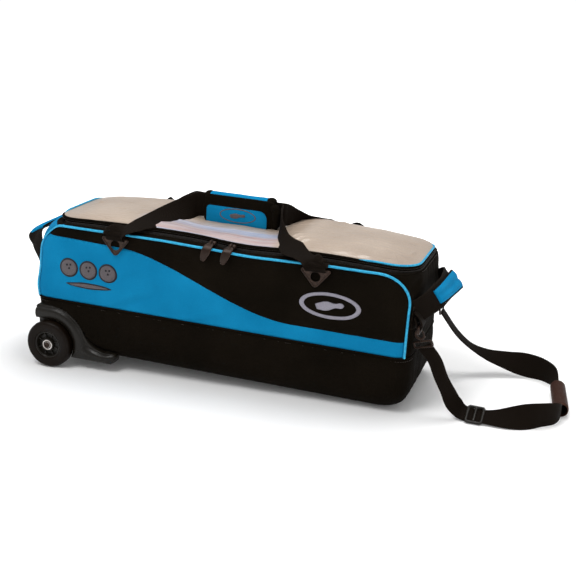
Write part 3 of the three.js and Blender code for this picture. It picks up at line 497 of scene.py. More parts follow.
def moulded(name, slot, dark, light, roughness, depth=0.03, shine=0.3, metallic=0.0):
    """Moulded plastic, rubber or plated metal: fine pebble, slow haze in the gloss, and scuffed edges painted
    lighter, partly as wear and partly as a painted highlight.
    """
    look = Look(name, slot, roughness, Metallic=metallic, Specular_IOR_Level=shine)
    haze = look.noise(30, detail=5)
    pebble = look.noise(1400, detail=2)
    # Lighter colour for sharp edges: partly wear, partly a painted highlight.
    worn_and_highlit = tuple(min(1, 2.2 * c + 0.008) for c in light)
    look.color(look.edge_wear_and_highlight(look.mix(haze, dark, light), worn_and_highlit, 0.6))
    gloss = look.maths("ADD", haze, look.noise(300))
    look.rough(look.ramp(gloss, 0.7, 1.3, roughness - 0.08, roughness + 0.12))
    look.bump(pebble, depth)
    return look.material


def clear_sheet(name, slot):
    """Clear vinyl over a pale lining: milky greige, with painted reflections: long pale streaks of the
    handle's reflection painted into its colour under the handle, crossed by darker lines of painted crease
    shade.
    """
    look = Look(name, slot, 0.32, Coat_Weight=0.35, Coat_Roughness=0.12, Specular_IOR_Level=0.4)
    base = look.mix(look.ramp(look.noise(7, 4), 0.3, 0.7), (0.33, 0.25, 0.19), (0.46, 0.37, 0.295))
    parts = look.add("ShaderNodeSeparateXYZ", Vector=look.where)
    x, y = parts.outputs["X"], parts.outputs["Y"]
    # Painted reflection: the area under the handle where pale reflection streaks are painted into the colour.
    inside = look.maths("MULTIPLY", look.ramp(x, -0.20, -0.16), look.ramp(x, 0.125, 0.105))
    inside = look.maths("MULTIPLY", inside, look.ramp(y, -0.02, -0.05))
    painted_reflection_streaks = look.noise(1.0, 3, stretch=(2.5, 90, 1))
    tint = look.ramp(look.noise(1.0, 2, stretch=(1.5, 60, 1)), 0.45, 0.6)
    pale = look.mix(tint, (0.44, 0.31, 0.30), (0.35, 0.38, 0.49))
    pale = look.mix(look.ramp(painted_reflection_streaks, 0.42, 0.62), pale, (0.50, 0.46, 0.455))
    # Painted shade: darker lines along creases, painted across the reflection streaks.
    crease = look.ramp(look.noise(1.0, 3, stretch=(9, 240, 1)), 0.60, 0.68)
    pale = look.mix(look.maths("MULTIPLY", crease, 0.5), pale, (0.24, 0.18, 0.17))
    look.color(look.mix(inside, base, pale))
    broad = look.maths("MULTIPLY", look.noise(22, 3), 2.2)
    folds = look.maths("ADD", broad, look.noise(110, 3, stretch=(1, 2, 1)))
    fine = look.maths("MULTIPLY", look.noise(420, 2), 0.3)
    look.bump(look.maths("ADD", folds, fine), 1.6)
    return look.material


def satin(name, slot, dark, light, pitch=0.9):
    """Embroidery: close parallel threads with a sheen."""
    look = Look(name, slot, 0.45, Sheen_Weight=0.05, Specular_IOR_Level=0.25)
    turned = look.add("ShaderNodeMapping", Vector=look.where, Rotation=(0, 0.9, 0)).outputs[0]
    rows = look.add("ShaderNodeTexWave", Vector=turned, Scale=2 * math.pi / (20 * pitch * MM)).outputs["Fac"]
    speckle = look.maths("MULTIPLY", look.noise(500), 0.5)
    share = look.maths("ADD", look.maths("MULTIPLY", rows, 0.5), speckle)
    look.color(look.mix(share, dark, light))
    look.bump(rows, 0.25)
    return look.material


# Every look varies between a dark and a light tint.
BLUE = woven("blue_polyester", "blue_fabric", (0.002, 0.150, 0.320), (0.006, 0.225, 0.450), grain=0.3)
BLACK = woven(
    "black_polyester",
    "black_fabric",
    (0.0026, 0.0018, 0.0009),
    (0.0075, 0.0052, 0.0030),
    pitch=1.4,
    depth=0.35,
)
WEBBING = webbing("black_webbing", "webbing", (0.0034, 0.0020, 0.0010), (0.0095, 0.0058, 0.0034))
CORD = moulded("blue_cord", "blue_cord", (0.010, 0.24, 0.44), (0.030, 0.34, 0.60), 0.5, shine=0.2)
VINYL = clear_sheet("clear_vinyl", "clear_vinyl")
PLASTIC = moulded(
    "black_plastic",
    "black_plastic",
    (0.0040, 0.0030, 0.0018),
    (0.0090, 0.0070, 0.0045),
    roughness=0.34,
    depth=0.008,
    shine=0.24,
)
TYRE = moulded(
    "tyre_polyurethane",
    "tyre_rubber",
    (0.0030, 0.0015, 0.0007),
    (0.0075, 0.0040, 0.0018),
    roughness=0.36,
    depth=0.01,
    shine=0.1,
)
GUNMETAL = moulded(
    "gunmetal",
    "dark_metal",
    (0.010, 0.005, 0.003),
    (0.030, 0.015, 0.009),
    roughness=0.34,
    depth=0.01,
    metallic=0.4,
)
STEEL = moulded(
    "ground_steel",
    "bright_steel",
    (0.42, 0.38, 0.35),
    (0.66, 0.60, 0.56),
    roughness=0.28,
    depth=0.01,
    metallic=1.0,
)
COIL = moulded("zip_coil", "zip_coil", (0.005, 0.004, 0.0035), (0.013, 0.010, 0.008), 0.45)
GRIP = moulded(
    "grip_rubber",
    "grip_rubber",
    (0.020, 0.006, 0.003),
    (0.045, 0.015, 0.008),
    roughness=0.6,
    depth=0.12,
    shine=0.15,
)
BOARD = moulded("grey_board", "board", (0.07, 0.065, 0.06), (0.11, 0.105, 0.10), 0.7)
FOAM = moulded("tray_foam", "foam", (0.02, 0.02, 0.022), (0.05, 0.05, 0.053), 0.9, depth=0.5)
SILVER_THREAD = satin("silver_thread", "black_fabric", (0.14, 0.13, 0.16), (0.42, 0.40, 0.47))
GREY_THREAD = satin("grey_thread", "black_fabric", (0.055, 0.045, 0.050), (0.15, 0.13, 0.14))
DARK_THREAD = satin("dark_thread", "black_fabric", (0.003, 0.003, 0.005), (0.010, 0.010, 0.016))
SEWING = satin("sewing_thread", "black_fabric", (0.022, 0.016, 0.012), (0.055, 0.042, 0.034), pitch=0.5)


def stitches(name, line, pitch, body, closed=False, inside=(0, 0, 150), radius=0.35, proud=0.2):
    """A row of short raised stitches along a line."""
    line = np.asarray(line, float)
    if closed:
        line = np.concatenate([line, line[:1]])
    length = np.linalg.norm(np.diff(line, axis=0), axis=1).sum()
    points = resample(line, max(int(length / (pitch / 4)), 8))
    parts = []
    for k in range(0, len(points) - 3, 4):
        a, b = points[k], points[k + 3]
        lift = unit((a + b) / 2 - np.array(inside)) * proud
        path = np.array([a - lift, a * 0.75 + b * 0.25 + lift, a * 0.25 + b * 0.75 + lift, b - lift])
        parts.append(tube(path, radius, 5, up=(0.3, 0.2, 1)))
    return make(name, merge(parts), SEWING, body)


# ------------------------------------------------------------------ cloth simulation

CLOTH_FRAMES = 20


def inflate(grid, inside, pressure, cap, slack, loop_cols=False):
    """Blows a sheet out from its pinned edges, and returns its grid with every point moved at most cap."""
    rows, cols = grid.shape[:2]
    scene = bpy.context.scene
    data = bpy.data.meshes.new("cloth_work")
    data.from_pydata((grid.reshape(-1, 3) * MM).tolist(), [], quads(rows, cols, loop_cols=loop_cols))
    shape = bmesh.new()
    shape.from_mesh(data)
    bmesh.ops.recalc_face_normals(shape, faces=shape.faces)
    outward = grid_normals(grid, inside, loop_cols).reshape(-1, 3)
    shape.faces.ensure_lookup_table()
    face = shape.faces[len(shape.faces) // 2]
    if np.dot(face.normal, outward[face.verts[0].index]) < 0:
        bmesh.ops.reverse_faces(shape, faces=shape.faces)
    shape.to_mesh(data)
    shape.free()
    work = bpy.data.objects.new("cloth_work", data)
    scene.collection.objects.link(work)
    index = np.arange(rows * cols).reshape(rows, cols)
    edge = [index[0], index[-1]] + ([] if loop_cols else [index[:, 0], index[:, -1]])
    pins = work.vertex_groups.new(name="pins")
    pins.add(np.concatenate(edge).tolist(), 1.0, "REPLACE")
    cloth = work.modifiers.new("cloth", "CLOTH").settings
    cloth.vertex_group_mass = "pins"
    cloth.use_pressure = True
    cloth.uniform_pressure_force = pressure
    cloth.shrink_min = -slack
    cloth.effector_weights.gravity = 0
    cloth.quality = 6
    cloth.bending_stiffness = 0.6
    for number in range(1, CLOTH_FRAMES + 1):
        scene.frame_set(number)
    settled = work.evaluated_get(bpy.context.evaluated_depsgraph_get())
    co = np.zeros(rows * cols * 3)
    settled.data.vertices.foreach_get("co", co)
    bpy.data.objects.remove(work)
    scene.frame_set(1)
    moved = co.reshape(rows, cols, 3) / MM - grid
    size = np.linalg.norm(moved, axis=-1, keepdims=True)
    return grid + moved * (cap * np.tanh(size / cap) / np.maximum(size, 1e-9))


# ------------------------------------------------------------------ the body's outside


TUB_ROUND = 48  # radius of the tub's lower edge
WALL = 4  # thickness of the cloth with its padding


def body_section(z):
    """Half length, half depth and corner radius of the bag's outside at a height."""
    low = TUB_ROUND * (1 - np.sqrt(1 - np.clip(1 - z / TUB_ROUND, 0, 1) ** 2))
    up = np.clip((z - SEAM_Z) / (PANEL_TOP - SEAM_Z), 0, 1) ** 3
    return HALF_LENGTH - low - 2 * up, HALF_DEPTH - low - up, 34 + 32 * up


def front_y(x, z):
    """Distance of the front face from the middle plane, at a place along the bag and a height."""
    length, depth, radius = body_section(z)
    past = np.clip(np.abs(x) - (length - radius), 0, radius)
    return depth - radius + np.sqrt(np.maximum(radius**2 - past**2, 0))


def panel_top(x):
    """Height of the upper seam of the front panel: level, with a quarter circle at each end."""
    past = np.clip(np.abs(x) - (PANEL_HALF - PANEL_CORNER), 0, PANEL_CORNER)
    return PANEL_TOP - PANEL_CORNER + np.sqrt(PANEL_CORNER**2 - past**2)


def swoosh(x):
    """Height of the upper edge of the blue field."""
    high = 257 - 0.03 * (x + 360)
    return high + (150 - high) * smoothstep(x, -210, 170)


def panel_columns(step=5.5, corner_steps=12):
    """Places along the bag for the columns of a side panel, closer together at its rounded corners."""
    straight = PANEL_HALF - PANEL_CORNER
    middle = np.linspace(-straight, straight, int(2 * straight / step))
    a = np.linspace(0, np.pi / 2, corner_steps)[1:]
    end = straight + PANEL_CORNER * np.sin(a)
    return np.concatenate([-end[::-1], middle, end])


def crease(distance, depth=1.6, width=3.0):
    """How far cloth is pulled in beside a seam."""
    return -depth * bell(distance, 0, width)


# Soft folds of a side panel: from and to (along the bag, height), width and height of the ridge.
FRONT_FOLDS = [
    ((-262, 150), (-160, 205), 13, -3.6), ((-232, 128), (-150, 172), 10, 3.4),
    ((-330, 130), (-300, 172), 9, 2.6), ((-205, 122), (-120, 160), 9, -3.0),
    ((-60, 124), (20, 150), 10, 2.4), ((60, 124), (150, 138), 8, 1.2), ((268, 186), (352, 168), 10, 2.2),
    ((300, 150), (372, 210), 12, -1.8), ((20, 262), (120, 250), 10, 1.6),
    ((-120, 268), (-20, 240), 9, -1.4), ((180, 250), (250, 262), 9, 1.5),
    ((330, 232), (360, 200), 9, 1.7),
]
REAR_FOLDS = [
    ((-300, 140), (-200, 190), 12, 2.2), ((-90, 230), (10, 200), 11, -2.0),
    ((120, 140), (220, 175), 11, 2.0), ((250, 250), (330, 220), 10, -1.8),
    ((-360, 200), (-300, 240), 10, 1.8), ((20, 130), (90, 165), 10, 1.6),
]
BLUE_ROWS = 26
BLACK_ROWS = 20


def side_panel(folds, seed, with_swoosh):
    """Grid of the front panel: rows from the base seam up to the swoosh, then on to the upper seam."""
    x = panel_columns()
    top = panel_top(x)
    split = np.minimum(swoosh(x), top) if with_swoosh else (SEAM_Z + top) / 2
    lower = np.linspace(0, 1, BLUE_ROWS + 1)[:, None]
    upper = np.linspace(0, 1, BLACK_ROWS + 1)[1:, None]
    z = np.concatenate([SEAM_Z + (split - SEAM_Z) * lower, split + (top - split) * upper])
    xs = np.broadcast_to(x, z.shape)
    grid = np.stack([xs, -front_y(xs, z), z], -1)
    grid = inflate(grid, (0, 0, 200), pressure=9.0, cap=6.5, slack=0.02)
    wrinkles = sum(fold(xs, z, *f) for f in folds)
    out = 0.9 * waves(xs, z, seed, 120) + 0.4 * waves(xs, z, seed + 1, 36)
    below_corner = z < PANEL_TOP - PANEL_CORNER
    from_end = np.where(below_corner, PANEL_HALF - np.abs(xs), 99)
    edge = np.minimum(np.minimum(z - SEAM_Z, top - z), from_end)
    out = out * smoothstep(edge, 0, 26) + wrinkles * smoothstep(edge, 0, 12) + crease(edge)
    if with_swoosh:
        out = out + crease(z - split, 1.3, 2.5)
    normal = grid_normals(grid, (0, 0, 200))
    return grid + normal * out[..., None]


def front_panels():
    """The blue and the black field of the front; returns the grid they were cut from."""
    grid = side_panel(FRONT_FOLDS, 3, True)
    make("front_panel_blue_cloth", slab(grid[: BLUE_ROWS + 1], WALL), BLUE, "bag_body", ["front_panel_blue"])
    upper = grid[BLUE_ROWS:]
    wide = np.linalg.norm(upper[-1] - upper[0], axis=-1) > 1.5
    first, last = np.flatnonzero(wide)[[0, -1]]
    black = upper[:, max(first - 1, 0) : last + 2]
    make("front_panel_black_cloth", slab(black, WALL), BLACK, "bag_body", ["front_panel_black"])
    return grid


def rear_panel():
    """The rear panel, one black piece."""
    grid = side_panel(REAR_FOLDS, 11, False) * np.array([1, -1, 1])
    make("rear_panel_cloth", slab(grid, WALL), BLACK, "bag_body", ["rear_panel"])


def end_panel(side, look, seed):
    """Cloth that wraps one end, from the front panel's seam round to the rear panel's."""
    count = 64
    middle = (side * 300, 0, 200)
    rows = []
    for z in np.linspace(SEAM_Z, PANEL_TOP, 30):
        length, depth, radius = body_section(z)
        past = np.clip(z - (PANEL_TOP - PANEL_CORNER), 0, PANEL_CORNER)
        seam_x = PANEL_HALF - PANEL_CORNER + math.sqrt(PANEL_CORNER**2 - past**2)
        a = np.linspace(-np.pi / 2, 0, 40)
        arc = np.stack([length - radius + radius * np.cos(a), -(depth - radius) + radius * np.sin(a)], -1)
        reach = np.linspace(seam_x, length - radius, 8)[:-1] if seam_x < length - radius else []
        half = [np.array([v, -depth]) for v in reach] + [p for p in arc if p[0] > seam_x - 0.5]
        half[0] = np.array([seam_x, -float(front_y(seam_x, z))])
        half = np.array(half)
        whole = np.concatenate([half, half[::-1] * np.array([1, -1])])
        rows.append(np.concatenate([resample(whole, count), np.full((count, 1), z)], 1))
    grid = np.array(rows) * np.array([side, 1, 1])
    grid = inflate(grid, middle, pressure=8.0, cap=6.0, slack=0.02)
    y, z = grid[..., 1], grid[..., 2]
    cols = np.arange(count)
    from_seam = 5.0 * np.minimum(cols, count - 1 - cols)[None]
    edge = np.minimum(np.minimum(z - SEAM_Z, PANEL_TOP - z), from_seam)
    out = 1.2 * waves(y, z, seed, 90)
    out = out + fold(y, z, (-70, 130), (20, 190), 12, 2) + fold(y, z, (80, 150), (40, 230), 12, -2)
    out = out * smoothstep(edge, 0, 24) + crease(edge, 1.2)
    grid = grid + grid_normals(grid, middle) * out[..., None]
    name = "right_end_panel" if side > 0 else "left_end_panel"
    make(name + "_cloth", slab(grid, WALL, middle), look, "bag_body", [name])


# ------------------------------------------------------------------ base tub and wheel housings

housing_low, housing_high = box_mm("wheel_housing_front")
RIDGE_R = 82  # outer radius of the arch over the wheel
WELL_R = WHEEL_R + 1.2  # radius of the well that the wheel turns in
SWEEP_R = 55  # radius of the hollow from the arch down to the foot
HOUSING_LEFT = housing_low[0]
HOUSING_BACK = 113  # from the middle of the bag to the housing's back
FOOT_END = housing_high[0] - 9
FOOT_TOP = 17
FOOT_BOTTOM = housing_low[2]


def housing_edges():
    """Outer and inner edge of the housing's ridge, in matching stretches: lip, arch, hollow and foot."""
    hollow_z = FOOT_TOP + SWEEP_R
    hollow_x = WHEEL_X + math.sqrt((RIDGE_R + SWEEP_R) ** 2 - (hollow_z - WHEEL_Z) ** 2)
    meet = math.degrees(math.atan2(hollow_z - WHEEL_Z, hollow_x - WHEEL_X))
    well_top = WHEEL_Z + WELL_R * math.sin(math.radians(100))
    well_low = math.degrees(math.asin((FOOT_BOTTOM - WHEEL_Z) / WELL_R))
    foot_x = WHEEL_X + WELL_R * math.cos(math.radians(well_low))
    ridge_top = WHEEL_Z + RIDGE_R
    outer = [
        [(HOUSING_LEFT, ridge_top - 4), (HOUSING_LEFT + 4, ridge_top), (WHEEL_X, ridge_top)],
        arc_points(WHEEL_X, WHEEL_Z, RIDGE_R, 90, meet),
        arc_points(hollow_x, hollow_z, SWEEP_R, meet + 180, 270),
        np.concatenate([[(hollow_x, FOOT_TOP)], arc_points(FOOT_END - 6, FOOT_TOP - 6, 6, 90, -20, 7)]),
    ]
    inner = [
        [(HOUSING_LEFT, well_top), (WHEEL_X + WELL_R * math.cos(math.radians(100)), well_top)],
        arc_points(WHEEL_X, WHEEL_Z, WELL_R, 100, 5),
        np.concatenate([arc_points(WHEEL_X, WHEEL_Z, WELL_R, 5, well_low), [(foot_x + 58, FOOT_BOTTOM)]]),
        [(foot_x + 58, FOOT_BOTTOM), (FOOT_END - 9, FOOT_BOTTOM), (FOOT_END - 3, FOOT_BOTTOM + 4)],
    ]
    counts = (12, 40, 34, 20)
    outer, inner = (
        np.concatenate([resample(stretch, n) for stretch, n in zip(edge, counts)]) for edge in (outer, inner)
    )
    keep = np.concatenate([[True], np.linalg.norm(np.diff(outer, axis=0), axis=1) > 1e-6])
    return outer[keep], inner[keep]


def housing():
    """The ridge: a thin flange on the cloth, a groove, a crowned band, and a wall down into the wheel well.

    Its profile is drawn from the outer to the inner edge as share of the way, and distance from the middle.
    """
    outer, inner = housing_edges()
    profile = [
        (0.0, 118), (0.0, 134.8), (0.02, 135.8), (0.09, 136.0), (0.12, 135.6), (0.14, 135.2),
        (0.17, 136.2), (0.22, 138.6), (0.30, 140.6), (0.42, 141.8), (0.56, 142.0), (0.72, 141.4),
        (0.86, 140.4), (0.95, 139.0), (0.99, 137.0), (1.0, 134.0), (1.0, HOUSING_BACK),
    ]
    rows = []
    for share, y in profile:
        xz = outer + (inner - outer) * share
        fade = 1 - smoothstep(xz[:, 0], FOOT_END - 20, FOOT_END - 2) * 0.5
        out = np.where(y > 134, 134 + (y - 134) * fade, y)
        rows.append(upright(xz, -out))
    rows.append(rows[0] * [1, 0, 1] + [0, -HOUSING_BACK, 0])
    points, faces = grid_part(np.array(rows), loop_rows=True)
    cols = len(outer)
    faces.append([r * cols for r in range(len(rows))])
    faces.append([r * cols + cols - 1 for r in range(len(rows))])
    return points, faces


def housing_plate():
    """The flat plate behind the wheel, with a raised collar round the axle."""
    outer, inner = housing_edges()
    left_end = [(WHEEL_X, FOOT_BOTTOM), (HOUSING_LEFT, WHEEL_Z - 12)]
    outline = np.concatenate([outer[:-6], inner[-8:-60:-3], left_end])
    line = outline * 0.97 + np.array([WHEEL_X, WHEEL_Z]) * 0.03
    near = upright(line, -127)
    far = near * [1, 0, 1] + [0, -HOUSING_BACK, 0]
    plate = grid_part(np.array([near, far]), loop_cols=True, capped=True)
    collar = lathe([(5, 120), (16, 120), (16, 127.5), (14, 128.2), (5.2, 128.2)], 40, (WHEEL_X, 0, WHEEL_Z))
    return merge([plate, collar])


def inside_housing(x, z):
    """How deep a place lies inside the housing's outline seen from the side; negative outside."""
    outer, inner = housing_edges()
    left, below = HOUSING_LEFT - 20, FOOT_BOTTOM - 20
    a = np.concatenate([outer, [(FOOT_END, below), (left, below), (left, WHEEL_Z + RIDGE_R - 4)]])
    b = np.roll(a, -1, 0)
    p = np.stack([x, z], -1).reshape(-1, 1, 2)
    d = b - a
    t = np.clip(((p - a) * d).sum(-1) / np.maximum((d * d).sum(-1), 1e-9), 0, 1)
    near = np.linalg.norm(p - (a + t[..., None] * d), axis=-1).min(1)
    crosses = (a[:, 1] > p[..., 1]) != (b[:, 1] > p[..., 1])
    at = a[:, 0] + (p[..., 1] - a[:, 1]) * d[:, 0] / np.where(np.abs(d[:, 1]) < 1e-9, 1e-9, d[:, 1])
    odd = (crosses & (p[..., 0] < at)).sum(1) % 2 == 1
    return np.where(odd, near, -near).reshape(x.shape)


def base_tub():
    """The base: a rounded tub, pressed in behind the wheel housings, its top edge turned in at the seam."""
    inside = (0, 0, 60)
    pressed_y = 110
    curve = [0, 0.6, 2, 4.5, 8, 12.5, 18, 24.5, 32]
    levels = np.concatenate([curve, np.linspace(40, SEAM_Z - 1.5, 20), [SEAM_Z]])
    grid = np.array([ring_of(*body_section(z), z) for z in levels])
    grid[8:] = inflate(grid[8:], inside, pressure=3.0, cap=3.0, slack=0.008, loop_cols=True)
    x, y, z = np.moveaxis(grid, -1, 0)
    out = 1.1 * waves(x + 3 * y, z, 21, 110) + 0.5 * waves(x - 2 * y, z, 22, 40)
    out = out * smoothstep(z, 4, 40) * smoothstep(SEAM_Z - z, 0, 25) + crease(SEAM_Z - z, 2.0, 3.5)
    grid = grid + grid_normals(grid, inside, True) * out[..., None]
    depth_in = inside_housing(grid[..., 0], grid[..., 2])
    y = np.abs(grid[..., 1])
    pressed = pressed_y + (y - pressed_y) * (1 - smoothstep(depth_in, 0.5, 4))
    grid[..., 1] = np.sign(grid[..., 1]) * np.where(y > pressed_y, pressed, y)
    points, faces = slab(grid, WALL, inside, loop_cols=True)
    cols = grid.shape[1]
    under = list(range(cols))
    above = list(range(len(points) // 2, len(points) // 2 + cols))
    faces = [f for f in faces if not (set(f) <= set(under) | set(above))]
    faces += [under, above]
    make("base_tub_cloth", (points, faces), BLACK, "bag_body", ["base_tub"], sharp=50)


def welt():
    """The dark binding along the seam between the tub and the panels, and its row of stitches."""
    line = ring_of(HALF_LENGTH + 0.2, HALF_DEPTH + 0.2, 32, SEAM_Z)
    make("base_welt", tube(line, 1.9, 8, loop=True, up=(0, 0, 1)), BLACK, "bag_body")
    stitches("base_topstitch", line + [0, 0, -6.5], 5.0, "bag_body", closed=True, inside=(0, 0, SEAM_Z))


# ------------------------------------------------------------------ wheels

WHEEL_CENTRE = (WHEEL_X, 0, WHEEL_Z)


def tyre():
    """The tread ring, with rounded shoulders; profiles of round pieces are (radius, distance out)."""
    r, out, inn = WHEEL_R, WHEEL_OUT, WHEEL_IN
    tread = [(r - 6, inn), (r - 2.5, inn + 1.2), (r - 0.6, inn + 4.5), (r, inn + 9), (r, out - 9.5)]
    shoulder = [(r - 0.7, out - 5), (r - 2.8, out - 1.6), (r - 5.5, out - 0.2), (r - 8, out)]
    seat = [(33, out - 0.6), (31, out - 1.2), (29.5, out - 2.4)]
    return lathe([(29.5, inn)] + tread + shoulder + seat, 96, WHEEL_CENTRE)


def hub():
    """The hub: a dished disc between rim and boss, with eight short ribs."""
    out, inn = WHEEL_OUT, WHEEL_IN
    back = [(11.3, inn + 0.5), (14, inn + 0.5), (14, inn + 6), (26, inn + 6), (27, inn + 1), (29.4, inn + 1)]
    rim = [(29.4, out - 2), (28.6, out - 1.4), (27.4, out - 1.6), (26.2, out - 3), (25.2, out - 8)]
    boss = [(15, out - 9), (14.2, out - 2), (13.4, out - 0.7), (12.2, out - 0.5), (11.3, out - 1.0)]
    parts = [lathe(back + rim + [(23, out - 10.5), (17, out - 10.5)] + boss, 72, WHEEL_CENTRE)]
    for k in range(8):
        a = (k + 0.5) * math.pi / 4
        along = np.array([math.cos(a), 0, math.sin(a)])
        start = np.array(WHEEL_CENTRE) + [0, -(out - 9.4), 0]
        path = np.array([along * q for q in (13.6, 17, 21, 26)]) + start
        side = np.cross(along, [0, 1, 0])
        parts.append(sweep(path, side, circle(1, 10), wide=[1.7, 1.3, 1.3, 1.9], thick=[3.4, 2.6, 2.2, 3.2]))
    return merge(parts)


def bearing(face):
    """A ball bearing with its outer side at the distance face: the races as one piece, and the seal."""
    race = [(4.4, 0), (4.4, -7), (11, -7), (11, 0), (10.6, 0.3), (9.0, 0.3), (8.6, -0.3), (6.6, -0.3)]
    seal = [(6.7, -0.6), (8.5, -0.6), (8.5, -0.1), (6.7, -0.1)]
    return (
        lathe([(q, face + d) for q, d in race + [(6.2, 0.3), (4.8, 0.3)]], 48, WHEEL_CENTRE),
        lathe([(q, face + d) for q, d in seal], 40, WHEEL_CENTRE),
    )


def axle():
    """The axle pin, with a dished head outside the wheel and a collar inside it."""
    head = WHEEL_OUT + 0.4
    inner_end = [(0.01, 109), (8, 109), (8, 111.6), (4, 111.6), (4, head)]
    outer_end = [(5.6, head), (5.8, head + 1), (5, head + 2.4), (3.2, head + 3.1), (2.4, head + 3.1)]
    return lathe(inner_end + outer_end + [(2.2, head + 1.6), (0.01, head + 1.5)], 32, WHEEL_CENTRE)


def wheels():
    """Tyre, hub, bearings, axle pin and housing on both sides."""
    for side, place, _ in both_sides():
        body = f"wheel_{side}"
        make(f"tyre_{side}_round", place(tyre()), TYRE, body, [f"wheel_tyre_{side}"], sharp=60)
        make(f"hub_{side}_spoked", place(hub()), PLASTIC, body, [f"wheel_hub_{side}"], sharp=45)
        for where, face in (("outer", WHEEL_OUT - 0.8), ("inner", WHEEL_IN + 7.5)):
            race, seal = bearing(face)
            node = f"wheel_bearing_{where}_{side}"
            make(f"bearing_{where}_{side}_race", place(race), STEEL, body, [node], sharp=40)
            make(f"bearing_{where}_{side}_seal", place(seal), PLASTIC, body, sharp=40)
        make(f"axle_{side}_turned", place(axle()), GUNMETAL, "bag_body", [f"axle_pin_{side}"], sharp=40)
        node = f"wheel_housing_{side}"
        make(f"housing_{side}_ridge", place(housing()), PLASTIC, "bag_body", [node], sharp=55)
        make(f"housing_{side}_plate", place(housing_plate()), PLASTIC, "bag_body", sharp=40)


# ------------------------------------------------------------------ gusset, zipper and lid


def lid_drop(x, y=0.0):
    """How the lid and its rim bow: lower at both ends, pressed down under the handle, full at the back."""
    t = np.clip(np.abs(x - LID_X) / LID_HALF, 0, 1)
    pressed = 4.5 * bell(x, 50, 75) * smoothstep(-y, 40, 110)
    return 4 * (1 - t**2) * smoothstep(y, 30, 110) - 8.5 * t**2.5 - pressed


def lid_ring(out, z):
    """The lid's outline at a height, moved out by so much."""
    line = ring_of(LID_HALF + out, LID_DEPTH + out, LID_CORNER + out, z, LID_X)
    line[:, 2] += lid_drop(line[:, 0], line[:, 1])
    return line


def top_gusset():
    """The shelf of cloth from the panels' upper seam in to the zipper."""
    outer = ring_of(*body_section(PANEL_TOP), PANEL_TOP)
    inner = lid_ring(1.5, RIM_Z)
    rows = []
    for t in np.linspace(0, 1, 9):
        line = outer * (1 - t) + inner * t
        at_hinge = smoothstep(line[:, 1], 70, 112)
        puffed = 2.4 - 4.4 * at_hinge + 0.8 * waves(line[:, 0], line[:, 1], 31, 70) * (1 - at_hinge)
        line[:, 2] += puffed * math.sin(math.pi * t)
        rows.append(line)
    rows.append(lid_ring(0.5, RIM_Z + 0.8))
    rows.append(lid_ring(-7, RIM_Z + 0.2))
    sheet = slab(np.array(rows), 2, (LID_X, 0, 100), loop_cols=True)
    make("top_gusset_cloth", sheet, BLACK, "bag_body", ["top_gusset"])
    stitches("gusset_topstitch", lid_ring(5.5, RIM_Z + 1.2), 5.0, "bag_body", closed=True, inside=(0, 0, 0))


def front_run(line, back_y):
    """The stretch of a ring that runs from the rear corner round the ends and the front to the other."""
    start = np.flatnonzero(line[:, 1] > back_y)
    order = np.roll(np.arange(len(line)), -(start[-1] + 1))
    run = [i for i in order if line[i, 1] <= back_y]
    return line[run]


def zip_chain(name, z, out, body, node):
    """One row of zipper coil: a cord whose thickness pulses with each tooth."""
    line = resample(front_run(lid_ring(out, z), LID_DEPTH - 17), 1250)
    pulse = 1 + 0.32 * np.sin(np.arange(len(line)) * 2 * np.pi / 3)
    coil = sweep(line, (0, 0, 1), circle(1.25, 6), wide=pulse, thick=pulse)
    centre = np.array([LID_X, 0, z])
    inward = unit((centre - line) * [0.3, 1, 0])
    tape = np.array([line + inward * 0.5, line + inward * 7])[:, ::5]
    tape_part = slab(tape, 0.8, (LID_X, 0, 0))
    make(name, merge([coil, tape_part]), COIL, body, [node])


def lid_band():
    """The cloth band round the lid: a rounded profile of (distance out, height) carried round it."""
    profile = [
        (-13, -0.6), (-9, 0.2), (-5, 0.6), (-2, 0.7), (-0.4, -0.2), (0.2, -2), (0.1, -4.5), (-0.6, -6.6),
        (-2, -7.6), (-6, -7.4), (-10, -4.4), (-13, -2.6),
    ]
    rows = []
    for out, dz in profile:
        line = lid_ring(out, LID_TOP - 1.2 + dz)
        line[:, 2] += 0.5 * waves(line[:, 0], line[:, 1], 41, 80)
        rows.append(line)
    band = grid_part(np.array(rows), loop_rows=True, loop_cols=True)
    make("lid_band_cloth", band, BLACK, "lid", ["lid_band"], sharp=60)
    seam_z = LID_TOP - 4.6
    stitches("lid_topstitch", lid_ring(0.2, seam_z), 4.5, "lid", closed=True, inside=(LID_X, 0, seam_z))


def along_front(line, half):
    """1 along the front edge of the lid, up to half its length from its middle, fading to 0 past that."""
    x, y = line[:, 0], line[:, 1]
    past = np.maximum(np.abs(x + 45) - half, 0)
    return bell(past, 0, 30) * smoothstep(-y, 40, 90)


def lid_cords():
    """The bright cord round the lid, tucked in along the front, where a black binding covers it instead."""
    cord = lid_ring(-2.2, LID_TOP + 1.6)
    front = along_front(cord, 308)
    rear = smoothstep(cord[:, 1], 60, LID_DEPTH - 6)
    cord[:, 1] += 3.5 * front - 3 * rear
    cord[:, 2] -= 8 * front + 5.5 * rear
    make("lid_cord", tube(cord, 2.1, 10, loop=True, up=(0, 0, 1)), CORD, "lid", ["lid_piping"])
    binding = lid_ring(-1.2, LID_TOP - 1.4)
    share = along_front(binding, 300)
    order = np.roll(np.arange(len(binding)), -int(np.argmax(binding[:, 1])))
    run = order[share[order] > 0.05]
    size = 0.35 + 0.65 * share[run]
    part = sweep(binding[run], (0, 0, 1), circle(2.7, 10), wide=size, thick=size)
    make("lid_binding", part, BLACK, "lid")


